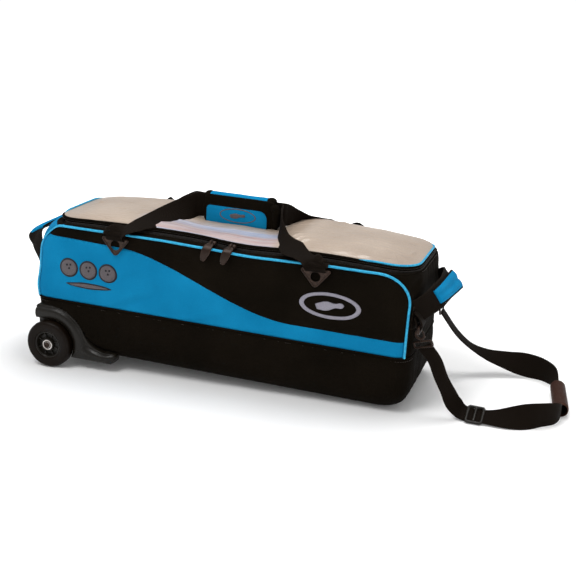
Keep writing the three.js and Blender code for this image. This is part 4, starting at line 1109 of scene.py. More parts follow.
# Short ridges in the clear sheet: X and Y, the turn of each from the X axis, and height.
CRINKLES = (
    (148, -70, 0.9, 2.4), (156, -60, 1.1, 2.0), (166, -76, 0.8, 2.2), (175, -64, 0.7, 1.6),
    (140, -52, 1.2, 1.8), (250, -98, 0.2, 1.6), (300, -96, 0.1, 1.8), (345, -92, -0.1, 1.6),
    (-250, -96, 0.3, 1.4), (-180, -92, 0.4, 1.6), (-330, 20, 1.4, 1.5), (-160, -78, 0.9, 1.6),
    (372, -20, 1.5, 1.5), (205, 92, 0.3, 1.4),
)
LONG_FOLDS = ((-86, 1.2), (-70, -1.0), (-52, 1.4), (-34, -1.0))  # under the handle: Y, and height


def window():
    """The clear sheet: puffed up over each half, pressed down under the handle, crinkled by the straps."""
    half, depth, radius = LID_HALF - 4.5, LID_DEPTH - 4.5, LID_CORNER - 4.5
    a = np.linspace(0, np.pi / 2, 12)[1:]
    edge_y = depth - radius + radius * np.sin(a)
    ys = np.concatenate([-edge_y[::-1], np.linspace(-(depth - radius), depth - radius, 44), edge_y])
    past = np.clip(np.abs(ys) - (depth - radius), 0, radius)
    reach = half - radius + np.sqrt(np.maximum(radius**2 - past**2, 0))
    s = np.linspace(-1, 1, 240)
    x = LID_X + s[None] * reach[:, None]
    y = np.repeat(ys[:, None], len(s), 1)
    edge = np.minimum(depth - np.abs(y), reach[:, None] * (1 - np.abs(s[None])))
    height = 3 + 10.5 * smoothstep(x, 70, 170) + 9 * smoothstep(-x, 50, 160)
    bow = height * np.sqrt(np.maximum(1 - (y / depth) ** 2, 0)) * (1 - s[None] ** 6)
    dent = -3.0 * bell(x, 8, 120) * bell(y, -45, 40)
    ripple = 1.3 * waves(x, y, 51, 150) + 0.6 * waves(x, y * 2.2, 52, 46)
    crinkle = 0
    for cx, cy, turn, size in CRINKLES:
        u = (x - cx) * math.cos(turn) + (y - cy) * math.sin(turn)
        v = -(x - cx) * math.sin(turn) + (y - cy) * math.cos(turn)
        crinkle = crinkle + 1.5 * size * bell(u, 0, 15) * bell(v, 0, 3.2)
    long_folds = sum(fold(x, y, (-190, c), (70, c + 4), 4.5, rise) for c, rise in LONG_FOLDS)
    relief = (dent + ripple + crinkle + long_folds) * smoothstep(edge, 0, 22)
    z = LID_TOP + 0.6 + lid_drop(x, y) + bow + relief
    sheet = slab(np.stack([x, y, z], -1), 0.9, (LID_X, 0, 0))
    make("lid_window_vinyl", sheet, VINYL, "lid", ["lid_window"], sharp=60)


def lid_hinge():
    """The strip of cloth along the back that the lid turns on."""
    xs = np.linspace(LID_X - LID_HALF + LID_CORNER, LID_X + LID_HALF - LID_CORNER, 60)
    below = [(LID_DEPTH - 6, RIM_Z + 0.4), (LID_DEPTH + 0.5, RIM_Z + 0.6), (LID_DEPTH + 2.6, RIM_Z + 3)]
    above = [(LID_DEPTH + 1.6, LID_TOP - 6.5), (LID_DEPTH - 4, LID_TOP - 6.5)]
    profile = spline(below + above, 14)
    grid = np.array([[(x, y, z + float(lid_drop(x))) for x in xs] for y, z in profile])
    obj = make("lid_hinge_cloth", slab(grid, 1.2, (0, 0, 288)), BLACK)
    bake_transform(obj)


def piping():
    """The bright cord round the front panel and round the rear one."""
    x, z = PANEL_HALF - PANEL_CORNER, PANEL_TOP - PANEL_CORNER
    foot = SEAM_Z + 1
    left = arc_points(-x, z, PANEL_CORNER, 180, 90)
    right = arc_points(x, z, PANEL_CORNER, 90, 0)
    xz = resample(np.concatenate([[(-PANEL_HALF, foot)], left, right, [(PANEL_HALF, foot)]]), 260)
    x, z = xz[:, 0], xz[:, 1]
    y = -(front_y(x, z) + 1.6) + 0.35 * waves(x, z, 61, 60)
    path = np.stack([x, y, z + 0.4 * waves(x, y, 62, 90)], -1)
    for side, place, _ in both_sides():
        make(f"{side}_piping_cord", place(tube(path, 2.5, 10)), CORD, "bag_body", [f"{side}_piping"])


def slider_shell(x, y, z):
    """The slider's body: squarish sections from the zipper outwards, and the bridge that holds the pull."""
    a = full_turn(20)
    sections = ((0, 6, 3.2), (-1.5, 7.4, 4.2), (-6, 7.8, 4.5), (-8.5, 6.8, 3.6), (-9.5, 5.0, 2.4))
    rows = []
    for dy, half, tall in sections:
        across, up = half * squarish(np.cos(a), 0.6), tall * squarish(np.sin(a), 0.6)
        rows.append(np.stack([x + across, np.full(20, y + dy), z + up], -1))
    shell = grid_part(np.array(rows), loop_cols=True, capped=True)
    knots = [(-4, 3.5), (-9, 6.5), (-15, 4.5), (-16, 0.5), (-9, -1)]
    bridge = tube(spline([(x, y + dy, z + dz) for dy, dz in knots], 16), 1.5, 8, up=(1, 0, 0))
    return merge([shell, bridge])


def slider_pull(x, y, z):
    """The leaf-shaped pull that hangs from the bridge, with a raised rim."""
    knots = [(0, -13, 1.5), (-1, -18, -1), (-4, -24.5, -8), (-8, -27, -20), (-12, -27, -33)]
    path = spline([(x + dx, y + dy, z + dz) for dx, dy, dz in knots], 26)
    width = 0.30 + 0.70 * np.sin(np.pi * np.linspace(0, 1, 26) ** 0.7) ** 0.7
    width[-1] *= 0.6
    across = (1, 0, 0)
    leaf = sweep(path, across, rounded_strip(18, 2.6, 4), wide=width)
    reach = frames(path, across)[0] * (8.2 * width)[:, None]
    return merge([leaf, tube(path - reach, 1.1, 6), tube(path + reach, 1.1, 6)])


def slider(x, side):
    """Zipper slider and its pull, at a place along the front."""
    place = (x, -LID_DEPTH - 3, 290 + float(lid_drop(x)))
    names = f"zipper_slider_{side}", f"zipper_pull_{side}"
    make(names[0] + "_cast", slider_shell(*place), GUNMETAL, f"slider_{side}", names[:1], sharp=50)
    make(names[1] + "_leaf", slider_pull(*place), GUNMETAL, f"pull_{side}", names[1:], sharp=60)


# ------------------------------------------------------------------ tabs, rings and carry handles

ring_low, ring_high = box_mm("side_ring_front_right")
STRAP_X = (ring_low[0] + ring_high[0]) / 2
RING_Y = -(ring_low[1] + ring_high[1]) / 2
RING_TOP = ring_high[2] - 1.8
RING_RAISED = 5  # how far the ring's top stands above its pivot
STRAP_WIDTH = 50
WEB_THICK = 2.6


def ring_tab(x):
    """Webbing folded round the ring's bar, and a wider piece that sews it down under the strap's root."""
    y, top = -RING_Y, RING_TOP
    loop = [
        (-HALF_DEPTH - 1.6, RIM_Z - 6), (-HALF_DEPTH - 2.2, top + 5), (y + 3.0, top), (y, top + 1.5),
        (y - 3.6, top + 6), (y - 3.2, top + 14),
    ]
    cover = [(y - 4.8, top + 13), (y - 4.6, RIM_Z - 2), (y - 1.8, RIM_Z), (y + 3, RIM_Z + 0.5)]
    strips = []
    for path, width in ((loop, 40), (cover, 50)):
        line = spline([(x, py, pz, 1, 0, 0) for py, pz in path], 30)
        strips.append(ribbon(line, width, 2.2))
    return merge(strips)


def rounded_triangle(top, tip, half):
    """Points round a triangle that hangs on its level top edge, with rounded corners."""
    corners = [(-half, top, 2.5), (half, top, 2.5), (0, tip, 7)]
    outline = []
    for k, (cx, cz, r) in enumerate(corners):
        here = np.array([cx, cz])
        before = unit(np.array(corners[k - 1][:2]) - here)
        after = unit(np.array(corners[(k + 1) % 3][:2]) - here)
        angle = math.acos(float(before @ after))
        back = r / math.tan(angle / 2)
        start, end = here + before * back, here + after * back
        for t in np.linspace(0, 1, 8):
            outline.append((1 - t) ** 2 * start + 2 * t * (1 - t) * here + t**2 * end)
    return resample(np.array(outline + outline[:1]), 73)[:-1]


def triangle_ring(x):
    """A cast triangular ring: a thick rim with a thin plate inside it that has a round hole."""
    top = RING_TOP + RING_RAISED
    line = rounded_triangle(top, RING_TOP - 32, 30)
    rim = tube(upright(line + [x, 0], -RING_Y), 2.0, 10, loop=True)
    centre = np.array([0.0, top - 14])
    spokes = line - centre
    hole = unit(spokes) * 10.2
    rows = [centre + hole, centre + hole * 1.08, centre + spokes]
    front = np.array([upright(row + [x, 0], -RING_Y - 0.6) for row in rows])
    plate = slab(front, 1.2, (x, 0, top), loop_cols=True)
    return merge([rim, plate])


# The carry strap's stops from its root to the wrap, with Y counted away from the middle of the bag. Each is a
# place, the direction of the edge that is outermost at the root and on top in the wrap, and how wide the
# webbing looks there (1 where it lies flat, less where its edges curl in).
STRAP_ROOT = [
    (STRAP_X - 1, 139.8, 279, 1, 0, 0, 1), (STRAP_X - 4, 140.4, 283, 1, 0, -0.04, 0.9),
    (STRAP_X - 10, 139.2, 287.5, 0.98, 0, -0.14, 0.8),
]
STRAP_RIGHT = [
    (STRAP_X - 22, 135, 292, 0.97, -0.05, -0.20, 0.78), (STRAP_X - 40, 126, 297.5, 0.99, -0.08, -0.10, 0.88),
    (STRAP_X - 57, 115, 301.8, 1, 0, 0.08, 0.96), (STRAP_X - 75, 98, 305, 0.95, -0.1, 0.3, 0.7),
    (STRAP_X - 88, 79, 309, 0.8, -0.1, 0.6, 0.5), (STRAP_X - 104, 50, 317, 0.15, -0.1, 0.98, 0.66),
    (STRAP_X - 114, 22, 326, 0.04, 0, 1, 0.9), (92, 3.4, 330, 0.02, 0, 1, 1), (50, 2.8, 330, 0, 0, 1, 1),
]
STRAP_LEFT = [
    (STRAP_X - 24, 133, 293, 0.97, -0.05, -0.16, 0.8), (STRAP_X - 46, 110, 302.5, 0.94, -0.1, 0.06, 0.94),
    (STRAP_X - 70, 76, 310, 0.76, -0.2, 0.38, 1), (STRAP_X - 92, 47, 318, 0.5, -0.2, 0.75, 1),
    (STRAP_X - 110, 22, 327, 0.2, -0.1, 0.95, 1), (90, 5.5, 331, 0.02, 0, 1, 1), (50, 2.8, 330, 0, 0, 1, 1),
]


def carry_strap():
    """The strap of the front handle, from its left root through the wrap to its right root."""
    left = np.array(STRAP_ROOT + STRAP_LEFT, float) * [-1, -1, 1, -1, -1, 1, 1]
    right = np.array(STRAP_ROOT + STRAP_RIGHT, float) * [1, -1, 1, 1, -1, 1, 1]
    line = spline(np.concatenate([left, right[::-1]]), 180)
    return ribbon(line, STRAP_WIDTH, WEB_THICK, wide=line[:, 6])


wrap_low, wrap_high = box_mm("handle_wrap_front")
WRAP_TOP = wrap_high[2]
WRAP_BOTTOM = wrap_low[2]


def flap_outline(x0, x1, z0, z1, r_left, r_right, r_low, count):
    """A flap seen from the front: rounded corners, the upper right one the widest."""
    whole = np.concatenate([
        arc_points(x1 - r_low, z0 + r_low, r_low, -90, 0, 8),
        arc_points(x1 - r_right, z1 - r_right, r_right, 0, 90, 12),
        arc_points(x0 + r_left, z1 - r_left, r_left, 90, 180, 10),
        arc_points(x0 + r_low, z0 + r_low, r_low, 180, 270, 8),
    ])
    return resample(np.concatenate([whole, whole[:1]]), count + 1)[:-1]


def pillow(outline, y_face, bulge, depth, back, rings=9):
    """A padded shape: its outline drawn in X and Z, crowned towards -Y from y_face by bulge, flat behind."""
    centre = outline.mean(0)
    rows = []
    for t in np.linspace(0, 1, rings):
        shrink = max(math.cos(t * math.pi / 2) ** 0.8, 0.02)
        line = centre + (outline - centre) * shrink
        rise = depth + bulge * math.sin(t * math.pi / 2)
        rows.append(upright(line, y_face - rise))
    behind = upright(outline, back)
    return grid_part(np.array([behind, (behind + rows[0]) / 2] + rows), loop_cols=True, capped=True)


def edging(outline, y, radius):
    """A cord round an outline drawn in X and Z."""
    return tube(upright(outline, y), radius, 8, loop=True)


def wrap_pads():
    """The grip's two padded halves round the straps, and the blue patch on the front one."""
    x0, x1 = wrap_low[0], wrap_high[0]
    outline = flap_outline(x0, x1, WRAP_BOTTOM, WRAP_TOP, 8, 20, 3, 90)
    front = pillow(outline, -5, 3.0, 6.5, -4.6)
    rear = mirror(pillow(outline, -5, 3.0, 6.0, -4.6), 1)
    make("wrap_front_pad", front, BLACK, "carry_front", ["handle_wrap_front"], sharp=60)
    make("wrap_front_binding", edging(outline, -10.8, 2.2), BLACK, "carry_front")
    make("wrap_rear_pad", rear, BLACK, "carry_rear", ["handle_wrap_rear"], sharp=60)
    patch = flap_outline(x0 + 3, x1 - 22, WRAP_BOTTOM - 5, WRAP_TOP - 19, 9, 18, 2, 80)
    pad = pillow(patch, -12.5, 2.4, 1.0, -12)
    make("wrap_patch_cloth", pad, BLUE, "carry_front", ["handle_wrap_patch"], sharp=60)
    make("wrap_patch_binding", edging(patch, -13.6, 1.5), BLACK, "carry_front")


def wrap_rolls():
    """The blue roll along the top of the grip with its black ends, and the black roll down its right end."""
    x0, x1 = wrap_low[0], wrap_high[0]
    xs = np.linspace(x0 + 10, x1 - 26, 24)
    path = np.stack([xs, np.zeros(24), np.full(24, WRAP_TOP - 1.0)], -1)
    wobble = 1 + 0.03 * waves(path[:, 0], path[:, 2], 71, 40)
    roll = sweep(path, (0, 1, 0), circle(8.2, 20), wide=wobble * 1.25, thick=wobble * 0.85)
    make("wrap_roll_cloth", roll, BLUE, "carry_rear", sharp=60)
    for name, at, r in (("left", x0 + 6, 7.6), ("right", x1 - 19, 8.6)):
        cap = spline([(at - 9, 0, WRAP_TOP - 3), (at, 0, WRAP_TOP - 0.6), (at + 9, 0, WRAP_TOP - 3)], 14)
        fat = 0.55 + 0.45 * np.sin(np.linspace(0, np.pi, 14)) ** 0.5
        part = sweep(cap, (0, 1, 0), circle(r, 16), wide=fat * 1.35, thick=fat)
        make(f"wrap_roll_{name}_end", part, BLACK, "carry_rear", sharp=70)
    knots = [(x1 - 14, -9, WRAP_TOP - 6), (x1 - 5, -10, WRAP_TOP - 17), (x1 - 3, -10, WRAP_TOP - 34)]
    path = spline(knots + [(x1 - 4, -9, WRAP_BOTTOM + 4)], 30)
    fat = np.interp(np.linspace(0, 1, 30), [0, 0.15, 0.6, 1], [0.6, 1, 1, 0.7])
    fat = fat * (1 + 0.05 * waves(path[:, 0], path[:, 2], 72, 18))
    part = sweep(path, (0, 1, 0), circle(9.0, 16), wide=fat, thick=fat)
    make("wrap_end_roll", part, BLACK, "carry_front", sharp=70)


def tabs_and_rings(side, place, s):
    """The tab and the ring under each root of one side's strap, and the tab's two rows of stitches."""
    for end, x in (("left", -STRAP_X), ("right", STRAP_X)):
        here = f"{side}_{end}"
        ring = place(triangle_ring(x))
        make(f"ring_tab_{here}_web", place(ring_tab(x)), WEBBING, "bag_body", [f"ring_tab_{here}"])
        make(f"side_ring_{here}_cast", ring, GUNMETAL, f"ring_{here}", [f"side_ring_{here}"], sharp=50)
        for row, dx in (("a", -23), ("b", 23)):
            heights = np.linspace(RING_TOP + 14, RIM_Z - 1, 6)
            line = [(x + dx, s * (RING_Y + 5.8), z) for z in heights]
            stitches(f"tab_stitch_{here}_{row}", line, 3.2, "bag_body")


def carry_handles():
    """Both straps with their tabs and rings; each strap is made in place as one mesh, on no body."""
    for side, place, s in both_sides():
        tabs_and_rings(side, place, s)
        node = f"carry_strap_{side}"
        strap = make(node + "_web", place(carry_strap()), WEBBING, replaces=[node])
        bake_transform(strap)


# ------------------------------------------------------------------ end handles

# Stops of the right handle's webbing, from the corner of the bag to the middle of the end: place, and the
# direction across the webbing. HANDLE_PAD is the middle line of the sleeve.
HANDLE_WEB = [
    (392, 119, 207, -0.25, 0, 0.97), (397.5, 114, 208, -0.25, 0, 0.97), (410, 106, 213, -0.27, 0, 0.96),
    (424, 93, 223, -0.36, 0, 0.93), (434, 76, 231, -0.55, 0, 0.83), (438, 44, 233, -0.66, 0, 0.75),
]
HANDLE_PAD = [(437, -75, 233.5), (441.5, -44, 233.5), (445, 0, 232.5), (447.5, 44, 231), (448.5, 75, 229)]
ACROSS_HANDLE = {"right": (-0.64, 0, 0.77), "left": (-0.84, 0, 0.54)}
LEFT_HANDLE_RAISED = 12


def padded_sleeve(across):
    """The blue sleeve, a flat roll with a channel along it that widens to the far end; and its two trims."""
    line = spline(HANDLE_PAD, 60)
    a = full_turn(36)
    wide = 17 * squarish(np.cos(a), 0.75)
    thick = 6.5 * squarish(np.sin(a), 0.7)
    thick = thick - np.sign(thick) * 3.2 * bell(wide, 0, 4.2)
    t = np.linspace(-1, 1, len(line))
    ends = 0.55 + 0.45 * np.sqrt(np.maximum(1 - np.abs(t) ** 14, 0))
    spread = (0.99 + 0.15 * t) * (0.93 + 0.07 * ends)
    swell = ends * (1 + 0.04 * waves(t * 60, t * 0, 81, 30))
    sleeve = sweep(line, across, np.stack([wide, thick], -1), wide=spread, thick=swell)
    reach = frames(line, across)[0] * (17.6 * spread)[:, None]
    return sleeve, merge([tube(line - reach, 2.3, 8), tube(line + reach, 2.3, 8)])


def end_handle(side):
    """Webbing that runs from corner to corner round one end of the bag, with a padded sleeve on it."""
    across = ACROSS_HANDLE[side]
    near = np.array(HANDLE_WEB) * [1, -1, 1, 1, 1, 1]
    far = np.array(HANDLE_WEB)[::-1]
    knots = np.concatenate([near, [(441, 0, 233.5, -0.66, 0, 0.75)], far])
    knots[4:9, 3:] = across
    sleeve, trim = padded_sleeve(across)

    def place(part):
        if side == "right":
            return part
        points, faces = mirror(part, 0)
        points[:, 2] += LEFT_HANDLE_RAISED * smoothstep(-points[:, 0], 392, 420)
        return points, faces

    web = place(ribbon(spline(knots, 120), 45, 2.8))
    strap = make(f"{side}_handle_web", web, WEBBING, replaces=[f"{side}_handle_webbing"])
    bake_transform(strap)
    make(f"{side}_handle_sleeve", place(sleeve), BLUE, f"{side}_handle", [f"{side}_handle_pad"], sharp=70)
    make(f"{side}_handle_trim", place(trim), BLACK, f"{side}_handle", sharp=70)


# ------------------------------------------------------------------ pull strap

anchor_low, anchor_high = box_mm("strap_ring_front")
ANCHOR_X = (anchor_low[0] + anchor_high[0]) / 2
ANCHOR_Y = -(anchor_low[1] + anchor_high[1]) / 2
ANCHOR_Z = anchor_high[2] - 1.8  # the strap ring's upper bar
CATCH_Z = anchor_low[2] + 1.8  # its lower bar, where the hook holds
NEAR_LEAN = math.radians(22)
FAR_LEAN = math.radians(6)
HOOK_R = 8.5
HOOK_Z = CATCH_Z - HOOK_R + 4.3
EYE_TOP = HOOK_Z - HOOK_R - 6


def corner_patch():
    """A webbing patch sewn round the bag's corner under the handle, and its fold round the ring's bar."""
    rows = []
    for z in np.linspace(176, 220, 12):
        length, depth, radius = body_section(z)
        a = np.linspace(math.asin((398 - length + radius) / radius), np.pi / 2, 22)
        out = radius + 3
        round_corner = np.stack([length - radius + out * np.sin(a), radius - depth - out * np.cos(a)], -1)
        along_end = np.stack([np.full(18, length + 3), np.linspace(radius - depth, -60, 19)[1:]], -1)
        xy = np.concatenate([round_corner, along_end])
        rows.append(np.concatenate([xy, np.full((len(xy), 1), z)], 1))
    patch = slab(np.array(rows), 2.2, (300, 0, 200))
    down = [(404, 212), (410, 207), (418, 196), (421, 186), (419, ANCHOR_Z - 3)]
    back_up = [(ANCHOR_X - 1.5, ANCHOR_Z - 5), (412, ANCHOR_Z - 1), (409.5, 192), (406, 200)]
    knots = [(x, 3 - ANCHOR_Y, z, 0, 1, 0) for x, z in down + back_up]
    return merge([patch, ribbon(spline(knots, 60), 30, 3.0)])


def strap_ring():
    """A wire ring, nearly square: the patch holds its upper bar and the hook its lower one."""
    half, z0, z1 = 16, CATCH_Z, ANCHOR_Z
    right = [(half - 5, z0), (half - 1, z0 + 2), (half, z0 + 7), (half + 0.5, z1 - 3), (half - 1, z1)]
    left = [(-y, z) for y, z in right[::-1]]
    line = np.array([(ANCHOR_X, -ANCHOR_Y + y, z) for y, z in left[-1:] + right + left[:-1] + left[-1:]])
    return tube(spline(line, 61)[:-1], 2.0, 10, loop=True, up=(1, 0, 0))


def lean(part, angle):
    """Turns a hook, drawn hanging straight down, about the ring's lower bar."""
    points, faces = part
    p = np.asarray(points, float) - [ANCHOR_X, 0, CATCH_Z]
    c, s = math.cos(angle), math.sin(angle)
    x = p[:, 0] * c - p[:, 2] * s
    z = p[:, 0] * s + p[:, 2] * c
    return np.stack([x + ANCHOR_X, p[:, 1], z + CATCH_Z], -1), faces


def swivel():
    """The hook's swivel barrel, turned about its own axis below the jaw."""
    profile = [
        (0.01, 0), (3.2, 0), (4.2, 1.2), (4.2, 2.6), (3.0, 3.4), (3.0, 4.6), (4.2, 5.4), (4.2, 7.4),
        (3.0, 8.4), (0.01, 8.4),
    ]
    points, faces = lathe(profile, 24)
    x, y, z = points.T
    return np.stack([x + ANCHOR_X, z - ANCHOR_Y, y + HOOK_Z - HOOK_R + 1.5], -1), faces


def snap_hook(across, angle):
    """Jaw, swivel barrel and the flat eye that the webbing passes through."""
    tip, heel = math.degrees(0.98), 360 - math.degrees(0.6)
    path = upright(arc_points(ANCHOR_X, HOOK_Z, HOOK_R, tip, heel, 40), -ANCHOR_Y)
    fat = np.interp(np.linspace(0, 1, 40), [0, 0.1, 0.6, 1], [0.75, 1.05, 1.35, 1.1])
    jaw = sweep(path, (0, 1, 0), circle(2.0, 12), wide=fat * 1.15, thick=fat)
    across = np.array(across, float)
    outline = [(-18, 0), (18, 0), (20, -2.5), (20, -9), (18, -11.5), (-18, -11.5), (-20, -9), (-20, -2.5)]
    line = np.array([[ANCHOR_X, -ANCHOR_Y, EYE_TOP + d] + across * u for u, d in outline])
    dense = resample(np.concatenate([line, line[:1]]), 65)[:-1]
    eye = tube(dense, 2.0, 10, loop=True, up=np.cross(across, [0, 0, 1]))
    return lean(merge([jaw, swivel(), eye]), angle)


def hook_gate(angle):
    """The sprung wire across the jaw's mouth."""
    low, high = (
        np.array([ANCHOR_X + HOOK_R * math.cos(a) - 0.6, -ANCHOR_Y, HOOK_Z + HOOK_R * math.sin(a)])
        for a in (-0.46, 0.74)
    )
    fat = np.array([0.6, 1, 1, 1, 1, 1, 1, 0.6])
    return lean(sweep(np.linspace(low, high, 8), (0, 1, 0), circle(1.7, 10), wide=fat, thick=fat), angle)


def on_floor(x, y, height):
    """A place at a height over the floor."""
    return x, y, floor_z(x) + height


def eye_place(angle):
    """X and Z of the middle of a hook's eye, once the hook leans."""
    x, _, z = lean((np.array([[ANCHOR_X, 0, EYE_TOP - 9]]), []), angle)[0][0]
    return x + 1, z


# The loop's stops from the near hook to the grip and from the grip to the far hook: place, the direction
# across the webbing, and how wide it looks there.
near_x, near_z = eye_place(NEAR_LEAN)
far_x, far_z = eye_place(FAR_LEAN)
NEAR_WEB = [
    (near_x, -ANCHOR_Y, near_z, 0.94, -0.2, 0.28, 0.60), (449, -112, 120, 0.92, -0.3, 0.28, 0.60),
    (465, -112, 86, 0.88, -0.35, 0.36, 0.60), (481, -110, 59, 0.76, -0.3, 0.58, 0.64),
    (496, -106, 35, 0.4, 0.3, 0.8, 0.66), (*on_floor(514, -100, 13), 0.1, 0.85, 0.45, 0.68),
    (*on_floor(560, -104, 12), 0, 0.92, 0.39, 0.74), (*on_floor(608, -106, 19), 0, 0.6, 0.8, 0.9),
    (*on_floor(655, -92, 26), 0, 0, 1, 1), (*on_floor(684, -66, 23), 0, 0, 1, 0.85),
]
FAR_WEB = [
    (*on_floor(664, 116, 24), 0, 0, 1, 0.85), (*on_floor(638, 140, 27), 0, 0, 1, 1),
    (*on_floor(602, 150, 29), 0, 0.3, 0.95, 1), (*on_floor(560, 150, 34), 0, 0.75, 0.65, 0.85),
    (520, 140, 52, 0, 0.95, 0.3, 0.7), (486, 128, 70, 0, 1, 0, 0.6), (456, 119, 97, 0, 1, 0, 0.6),
    (far_x, ANCHOR_Y, far_z, 0, 1, 0, 0.6),
]
GRIP_NEAR = np.array(on_floor(690, -32, 16))
GRIP_FAR = np.array(on_floor(674, 88, 16))


def loop_webbing():
    """The loop from hook to hook through the grip, lying double from the near hook to the tri-glide."""
    middle = [(*(GRIP_NEAR + (GRIP_FAR - GRIP_NEAR) * t), 0, 0, 1, 0.42) for t in (0.02, 0.35, 0.65, 0.98)]
    line = spline(NEAR_WEB + middle + FAR_WEB, 260)
    doubled = spline(NEAR_WEB[:7], 90)[:84]
    side = np.cross(unit(np.gradient(doubled[:, :3], axis=0)), unit(doubled[:, 3:6]))
    doubled[:, :3] -= side * (3.2 + 1.6 * np.sin(np.linspace(0, np.pi, len(doubled))))[:, None]
    under = sweep(doubled[:, :3], unit(doubled[:, 3:6]), rounded_strip(47, 2.2), wide=doubled[:, 6])
    return merge([ribbon(line, 50, WEB_THICK, wide=line[:, 6]), under])


def glide():
    """The slider the webbing doubles back through, lying half over: a rounded frame with a middle bar."""
    a = np.array(on_floor(512, -100, 12))
    b = np.array(on_floor(560, -104, 12))
    centre = (a + b) / 2
    along = unit(b - a)
    across = unit(np.array([0.0, 0.92, 0.39]))
    normal = np.cross(along, across)
    outline = [(-13, -20), (13, -20), (15, -17), (15, 17), (13, 20), (-13, 20), (-15, 17), (-15, -17)]
    line = np.array([centre + along * u + across * v for u, v in outline])
    dense = resample(np.concatenate([line, line[:1]]), 81)[:-1]
    ring = tube(dense, 2.9, 10, loop=True, up=normal)
    bar_line = np.linspace(centre - across * 19, centre + across * 19, 8) + normal * 1.5
    bar = tube(bar_line, 2.4, 10, up=(1, 0, 0))
    over = [centre + along * u - normal * lift for u, lift in ((-12, 2), (0, 7), (12, 2))]
    return merge([ring, bar]), sweep(spline(over, 20), across, rounded_strip(35, 2.6))


def grip_sleeve():
    """A rubber tube with soft ends and shallow rings pressed into it."""
    t = np.linspace(0, 1, 60)
    path = GRIP_NEAR + (GRIP_FAR - GRIP_NEAR) * t[:, None]
    ends = np.interp(t, [0, 0.02, 0.05, 0.95, 0.98, 1], [0.86, 0.97, 1, 1, 0.97, 0.86])
    outer = ends * (1 + 0.006 * np.sin(t * 40 * np.pi)) * 15
    inner = 12.4
    first, second = frames(path, (0, 0, 1))
    a = full_turn(36)
    spin = first[:, None] * np.cos(a)[None, :, None] + second[:, None] * np.sin(a)[None, :, None]
    outside = path[:, None] + spin * outer[:, None, None]
    within = (path[:, None] + spin * inner)[::-1]
    return grid_part(np.concatenate([outside, within]), loop_rows=True, loop_cols=True)


def pull_strap():
    """On each side the patch on the bag, ring, hook and gate; then the loop with its tri-glide and grip."""
    hooks = {"front": ((0.96, -0.28, 0), NEAR_LEAN), "rear": ((0, 1, 0), FAR_LEAN)}
    for side, place, _ in both_sides():
        across, angle = hooks[side]
        ring, hook, gate = f"strap_ring_{side}", f"snap_hook_{side}", f"hook_gate_{side}"
        make(f"corner_patch_{side}_web", place(corner_patch()), WEBBING, "bag_body", [f"corner_patch_{side}"])
        make(ring + "_wire", place(strap_ring()), GUNMETAL, "pull_strap", [ring], sharp=60)
        make(hook + "_cast", place(snap_hook(across, angle)), GUNMETAL, "pull_strap", [hook], sharp=60)
        make(gate + "_wire", place(hook_gate(angle)), GUNMETAL, f"gate_{side}", [gate], sharp=60)
    make("pull_loop_web", loop_webbing(), WEBBING, "pull_strap", ["pull_strap_webbing"])
    slider_frame, wrapped = glide()
    make("glide_frame", slider_frame, PLASTIC, "pull_strap", ["tri_glide"], sharp=60)
    make("glide_web", wrapped, WEBBING, "pull_strap")
    make("grip_sleeve", grip_sleeve(), GRIP, "pull_strap", ["pull_grip"], sharp=50)


# ------------------------------------------------------------------ embroidered marks


def on_front(x, z, lift):
    """Places on the front panel's face, stood off by lift."""
    columns = FRONT_GRID[0, :, 0]
    at = np.clip(np.interp(x, columns, np.arange(len(columns))), 0, len(columns) - 1.001)
    out = []
    for height, c in zip(z, at):
        k = int(c)
        column = FRONT_GRID[:, k] * (1 - (c - k)) + FRONT_GRID[:, k + 1] * (c - k)
        out.append(np.interp(height, column[:, 2], column[:, 1]) - lift)
    return np.stack([x, out, z], -1)


def on_patch(x, z, lift):
    """Places on the face of the grip's blue patch, stood off by lift."""
    return upright(np.stack([x, z], -1), -16.2 - lift)


def band_mark(centre, outer, inner, profile, surface=on_front, count=72):
    """A raised ring of embroidery between two ellipses, given as (half width, half height)."""
    rows = []
    for t, lift in profile:
        rx = outer[0] + (inner[0] - outer[0]) * t
        rz = outer[1] + (inner[1] - outer[1]) * t
        x, z = ellipse(*centre, rx, rz, count).T
        rows.append(surface(x, z, lift))
    return grid_part(np.array(rows), loop_rows=True, loop_cols=True)


def blob_mark(outline, lift, surface=on_front, rings=6):
    """A raised filled shape of embroidery, from an outline in X and Z that has no deep hollows."""
    centre = outline.mean(0)
    rows = [surface(outline[:, 0], outline[:, 1], -0.6)]
    for t in np.linspace(0, 0.98, rings):
        line = outline + (centre - outline) * t
        rise = 0.45 + 0.55 * math.sin(math.pi / 2 * min(1, t * 3 + 0.1))
        rows.append(surface(line[:, 0], line[:, 1], lift * rise))
    return grid_part(np.array(rows), loop_cols=True, capped=True)


def pin_shape(cx, cz, length, turn):
    """Outline of a bowling pin lying at an angle."""
    s = np.linspace(0, 1, 22)
    stations = [0, 0.06, 0.3, 0.45, 0.62, 0.72, 0.86, 0.96, 1]
    half = length * np.interp(s, stations, [0.075, 0.10, 0.155, 0.15, 0.085, 0.068, 0.092, 0.065, 0.0])
    along = (s - 0.5) * length
    upper = np.stack([along, half], -1)
    lower = (upper * [1, -1])[::-1][1:-1]
    x, z = np.concatenate([upper, lower]).T
    c, t = math.cos(turn), math.sin(turn)
    return np.stack([cx + x * c - z * t, cz + x * t + z * c], -1)


def lens(cx, cz, half, tall, count=40):
    """A plain long lozenge with soft sides."""
    a = full_turn(count)
    return np.stack([cx + half * np.cos(a), cz + tall * squarish(np.sin(a), 1.6)], -1)


